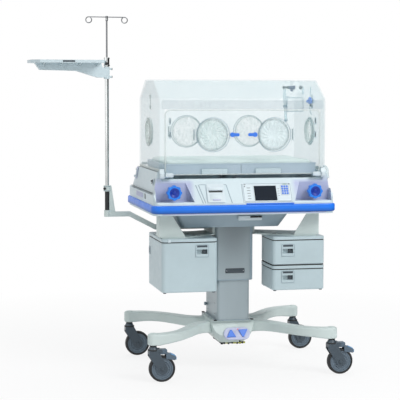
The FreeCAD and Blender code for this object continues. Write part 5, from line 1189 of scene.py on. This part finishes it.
class INCUBATOR_OT_pole(bpy.types.Operator):
    """Add the clamp screws, sleeves, collars and bare plate of the infusion pole and its shelf"""
    bl_idname = "incubator.pole"
    bl_label = "Infusion pole"

    def execute(self, context):
        x = -605
        foot = Shape()
        section = [(-0.6, 0), (0.5, 0), (0.5, 2.6), (-0.6, 2.6)]
        for z in (881, 902):
            foot.sweep(spot(x, 0, z, "top"), circle(17, 40), section, closed=True)
        foot.done("pole_foot_beads", "pan", "lift", "arm_grey")
        front_left = Matrix.Rotation(math.radians(-40.0), 4, "Y") @ Matrix.Translation((0, 0, 16.6))
        screw = Shape().turned(spot(x, 0, 893) @ front_left, [(4.5, 0), (4.5, 3), (6.5, 4), (6.5, 9), (4, 11)], 24)
        screw.done("pole_foot_screw", "rubber", "lift")
        sleeve = Shape().turned(spot(x, 0, 787.4, "top"), [(9.7, 0), (11, 1.5), (11, 89.6), (9.7, 91)])
        sleeve.done("pole_foot_sleeve", "rubber", "lift")
        top = Shape().turned(spot(x, 0, 1484, "top"), [(13.1, 0), (15, 1), (15, 9), (13.2, 10)])
        top.turned(spot(x, 0, 1520, "top"), [(13.1, 0), (14.4, 1), (14.4, 5), (10, 8), (4.4, 9)])
        top.done("pole_collar_rings", "chrome", "lift", "pole_chrome")
        lever = Shape().plate(spot(x - 4, -13, 1497), 13, 14, 4, 4, 1.2)
        lever.done("pole_collar_lever", "rubber", "lift")
        knobs = Shape()
        for z in (1434, 1472):
            knobs.turned(spot(x + 24, 0, z, "right"), [(5.0, 0), (5.5, 1), (5.0, 3), (2, 3.6)], 24)
        knobs.done("shelf_clamp_caps", "rubber", "shelf")
        patch = Shape().plate(spot(-804, -130, 1506.5), 58, 8, 1.0, 1.5, 0.3)
        patch.done("shelf_bare_plate", "plate", "shelf")
        tip = Shape().plate(spot(-979, 0, 1506, "left"), 60, 6, 0.8, 2, 0.3)
        tip.done("shelf_tip_mark", "pan", "shelf")
        mat = [(-638, -123), (-638, 123), (-938, 123), (-973, 76), (-973, -76), (-938, -123)][::-1]
        outline = [(px + 805, py) for px, py in mat]
        liner = Shape().sweep(spot(-805, 0, 1502, "top"), soft_outline(outline[::-1], 6), slab(1.6, 0.5))
        for row in range(9):
            liner.plate(spot(-660 - row * 33, 0, 1503.4, "top"), 3, 214, 1.2, 1.2, 0.4)
        liner.done("shelf_liner", "shelf", "shelf", "shelf_plastic")
        cap = Shape().turned(spot(x, 0, 1722, "top"), [(6.1, -14), (7.4, -13), (7.4, -9), (6.1, -8)], 24)
        cap.done("hook_socket_ring", "chrome", "hooks", "pole_chrome")
        return {"FINISHED"}


class INCUBATOR_OT_stage(bpy.types.Operator):
    """Set up the floor, the lights, the room and the camera"""
    bl_idname = "incubator.stage"
    bl_label = "Studio"

    def execute(self, context):
        scene = context.scene
        studio = scene.incubator_studio
        self.floor(scene)
        self.room(scene, studio)
        self.card(scene)
        middle = at(0, 0, 900)
        self.lamp(scene, "key_lamp", at(2500, -3900, 4100), middle, studio.key, 2.8)
        self.lamp(scene, "fill_lamp", at(-3900, -2600, 2200), middle, studio.fill, 2.6)
        self.lamp(scene, "top_lamp", at(300, 900, 4600), middle, studio.top, 3.0)
        self.camera(scene, studio)
        scene.view_settings.view_transform = "Standard"
        return {"FINISHED"}

    def floor(self, scene):
        half = 40.0
        data = bpy.data.meshes.new("studio_floor")
        data.from_pydata([(-half, -half, 0), (half, -half, 0), (half, half, 0), (-half, half, 0)], [], [(0, 1, 2, 3)])
        floor = bpy.data.objects.new("studio_floor", data)
        scene.collection.objects.link(floor)
        made = Finish("floor_white")
        x, y = made.axis("X") - AXIS.x, made.axis("Y") - AXIS.y
        far = (x * x + y * y).between(0.4, 7.0, 0.82, 1.0)
        speck = made.noise(3.0, 4.0)
        paper = made.node("ShaderNodeBsdfPrincipled", None, {
            "Base Color": made.mix(speck, (0.90, 0.90, 0.90, 1.0), (0.93, 0.93, 0.93, 1.0)), "Roughness": 0.8})
        white = made.node("ShaderNodeEmission", None, {"Color": (1.0, 1.0, 1.0, 1.0), "Strength": 1.0})
        both = made.node("ShaderNodeMixShader", None, {0: made.shown() * far, 1: paper, 2: white})
        made.node("ShaderNodeOutputMaterial", None, {"Surface": both})
        data.materials.append(made.owner)

    def room(self, scene, studio):
        made = Finish("studio_room", bpy.data.worlds)
        soft = made.node("ShaderNodeBackground", None, {"Color": (0.95, 0.97, 1.0, 1.0), "Strength": studio.sky})
        white = made.node("ShaderNodeBackground", None, {"Color": (1.0, 1.0, 1.0, 1.0), "Strength": 1.0})
        both = made.node("ShaderNodeMixShader", None, {0: made.shown(), 1: soft, 2: white})
        made.node("ShaderNodeOutputWorld", None, {"Surface": both})
        scene.world = made.owner

    def card(self, scene):
        """Dark card to the right of the object, there only for what metal and glass reflect."""
        data = bpy.data.meshes.new("studio_card")
        corners = [at(2600, -6200, 0), at(2600, 3600, 0), at(2600, 3600, 3400), at(2600, -6200, 3400)]
        data.from_pydata(corners, [], [(0, 1, 2, 3)])
        card = bpy.data.objects.new("studio_card", data)
        scene.collection.objects.link(card)
        data.materials.append(finish["card"])
        card.visible_camera = card.visible_diffuse = card.visible_transmission = card.visible_shadow = False

    def lamp(self, scene, name, place, target, power, width):
        data = bpy.data.lights.new(name, "AREA")
        data.energy = power
        data.size = width
        lamp = bpy.data.objects.new(name, data)
        lamp.location = place
        lamp.rotation_euler = (target - place).to_track_quat("-Z", "Y").to_euler()
        scene.collection.objects.link(lamp)

    def camera(self, scene, studio):
        yaw, pitch, roll = studio.yaw, studio.pitch, studio.roll
        forward = Vector((math.sin(yaw) * math.cos(pitch), math.cos(yaw) * math.cos(pitch), -math.sin(pitch)))
        level = Vector((math.cos(yaw), -math.sin(yaw), 0.0))
        upright = level.cross(forward)
        right = level * math.cos(roll) + upright * math.sin(roll)
        up = upright * math.cos(roll) - level * math.sin(roll)
        turned = Matrix((right, up, -forward)).transposed().to_4x4()
        data = bpy.data.cameras.new("studio_camera")
        data.sensor_fit = "HORIZONTAL"
        data.sensor_width = 36.0
        data.lens = studio.lens
        data.clip_end = 200.0
        camera = bpy.data.objects.new("studio_camera", data)
        camera.matrix_world = Matrix.Translation(Vector(studio.camera_place)) @ turned
        scene.collection.objects.link(camera)
        scene.camera = camera


OPERATORS = (
    INCUBATOR_OT_finish_frame, INCUBATOR_OT_stage, INCUBATOR_OT_base, INCUBATOR_OT_casters, INCUBATOR_OT_column,
    INCUBATOR_OT_cabinets, INCUBATOR_OT_housing, INCUBATOR_OT_controls, INCUBATOR_OT_bed, INCUBATOR_OT_mattress,
    INCUBATOR_OT_hood, INCUBATOR_OT_sensors, INCUBATOR_OT_pole,
)


class INCUBATOR_PT_build(bpy.types.Panel):
    """Lists the steps that dress the incubator"""
    bl_idname = "INCUBATOR_PT_build"
    bl_label = "Infant incubator"
    bl_space_type = "VIEW_3D"
    bl_region_type = "UI"
    bl_category = "Incubator"

    def draw(self, context):
        for operator in OPERATORS:
            self.layout.operator(operator.bl_idname)


CLASSES = (IncubatorColours, IncubatorSizes, IncubatorStudio) + OPERATORS + (INCUBATOR_PT_build,)


def register():
    for entry in CLASSES:
        bpy.utils.register_class(entry)
    bpy.types.Scene.incubator_colours = PointerProperty(type=IncubatorColours)
    bpy.types.Scene.incubator_sizes = PointerProperty(type=IncubatorSizes)
    bpy.types.Scene.incubator_studio = PointerProperty(type=IncubatorStudio)


def unregister():
    del bpy.types.Scene.incubator_studio
    del bpy.types.Scene.incubator_sizes
    del bpy.types.Scene.incubator_colours
    for entry in reversed(CLASSES):
        bpy.utils.unregister_class(entry)


def main():
    register()
    for operator in OPERATORS:
        group, name = operator.bl_idname.split(".")
        getattr(getattr(bpy.ops, group), name)()


if __name__ == "__main__":
    main()
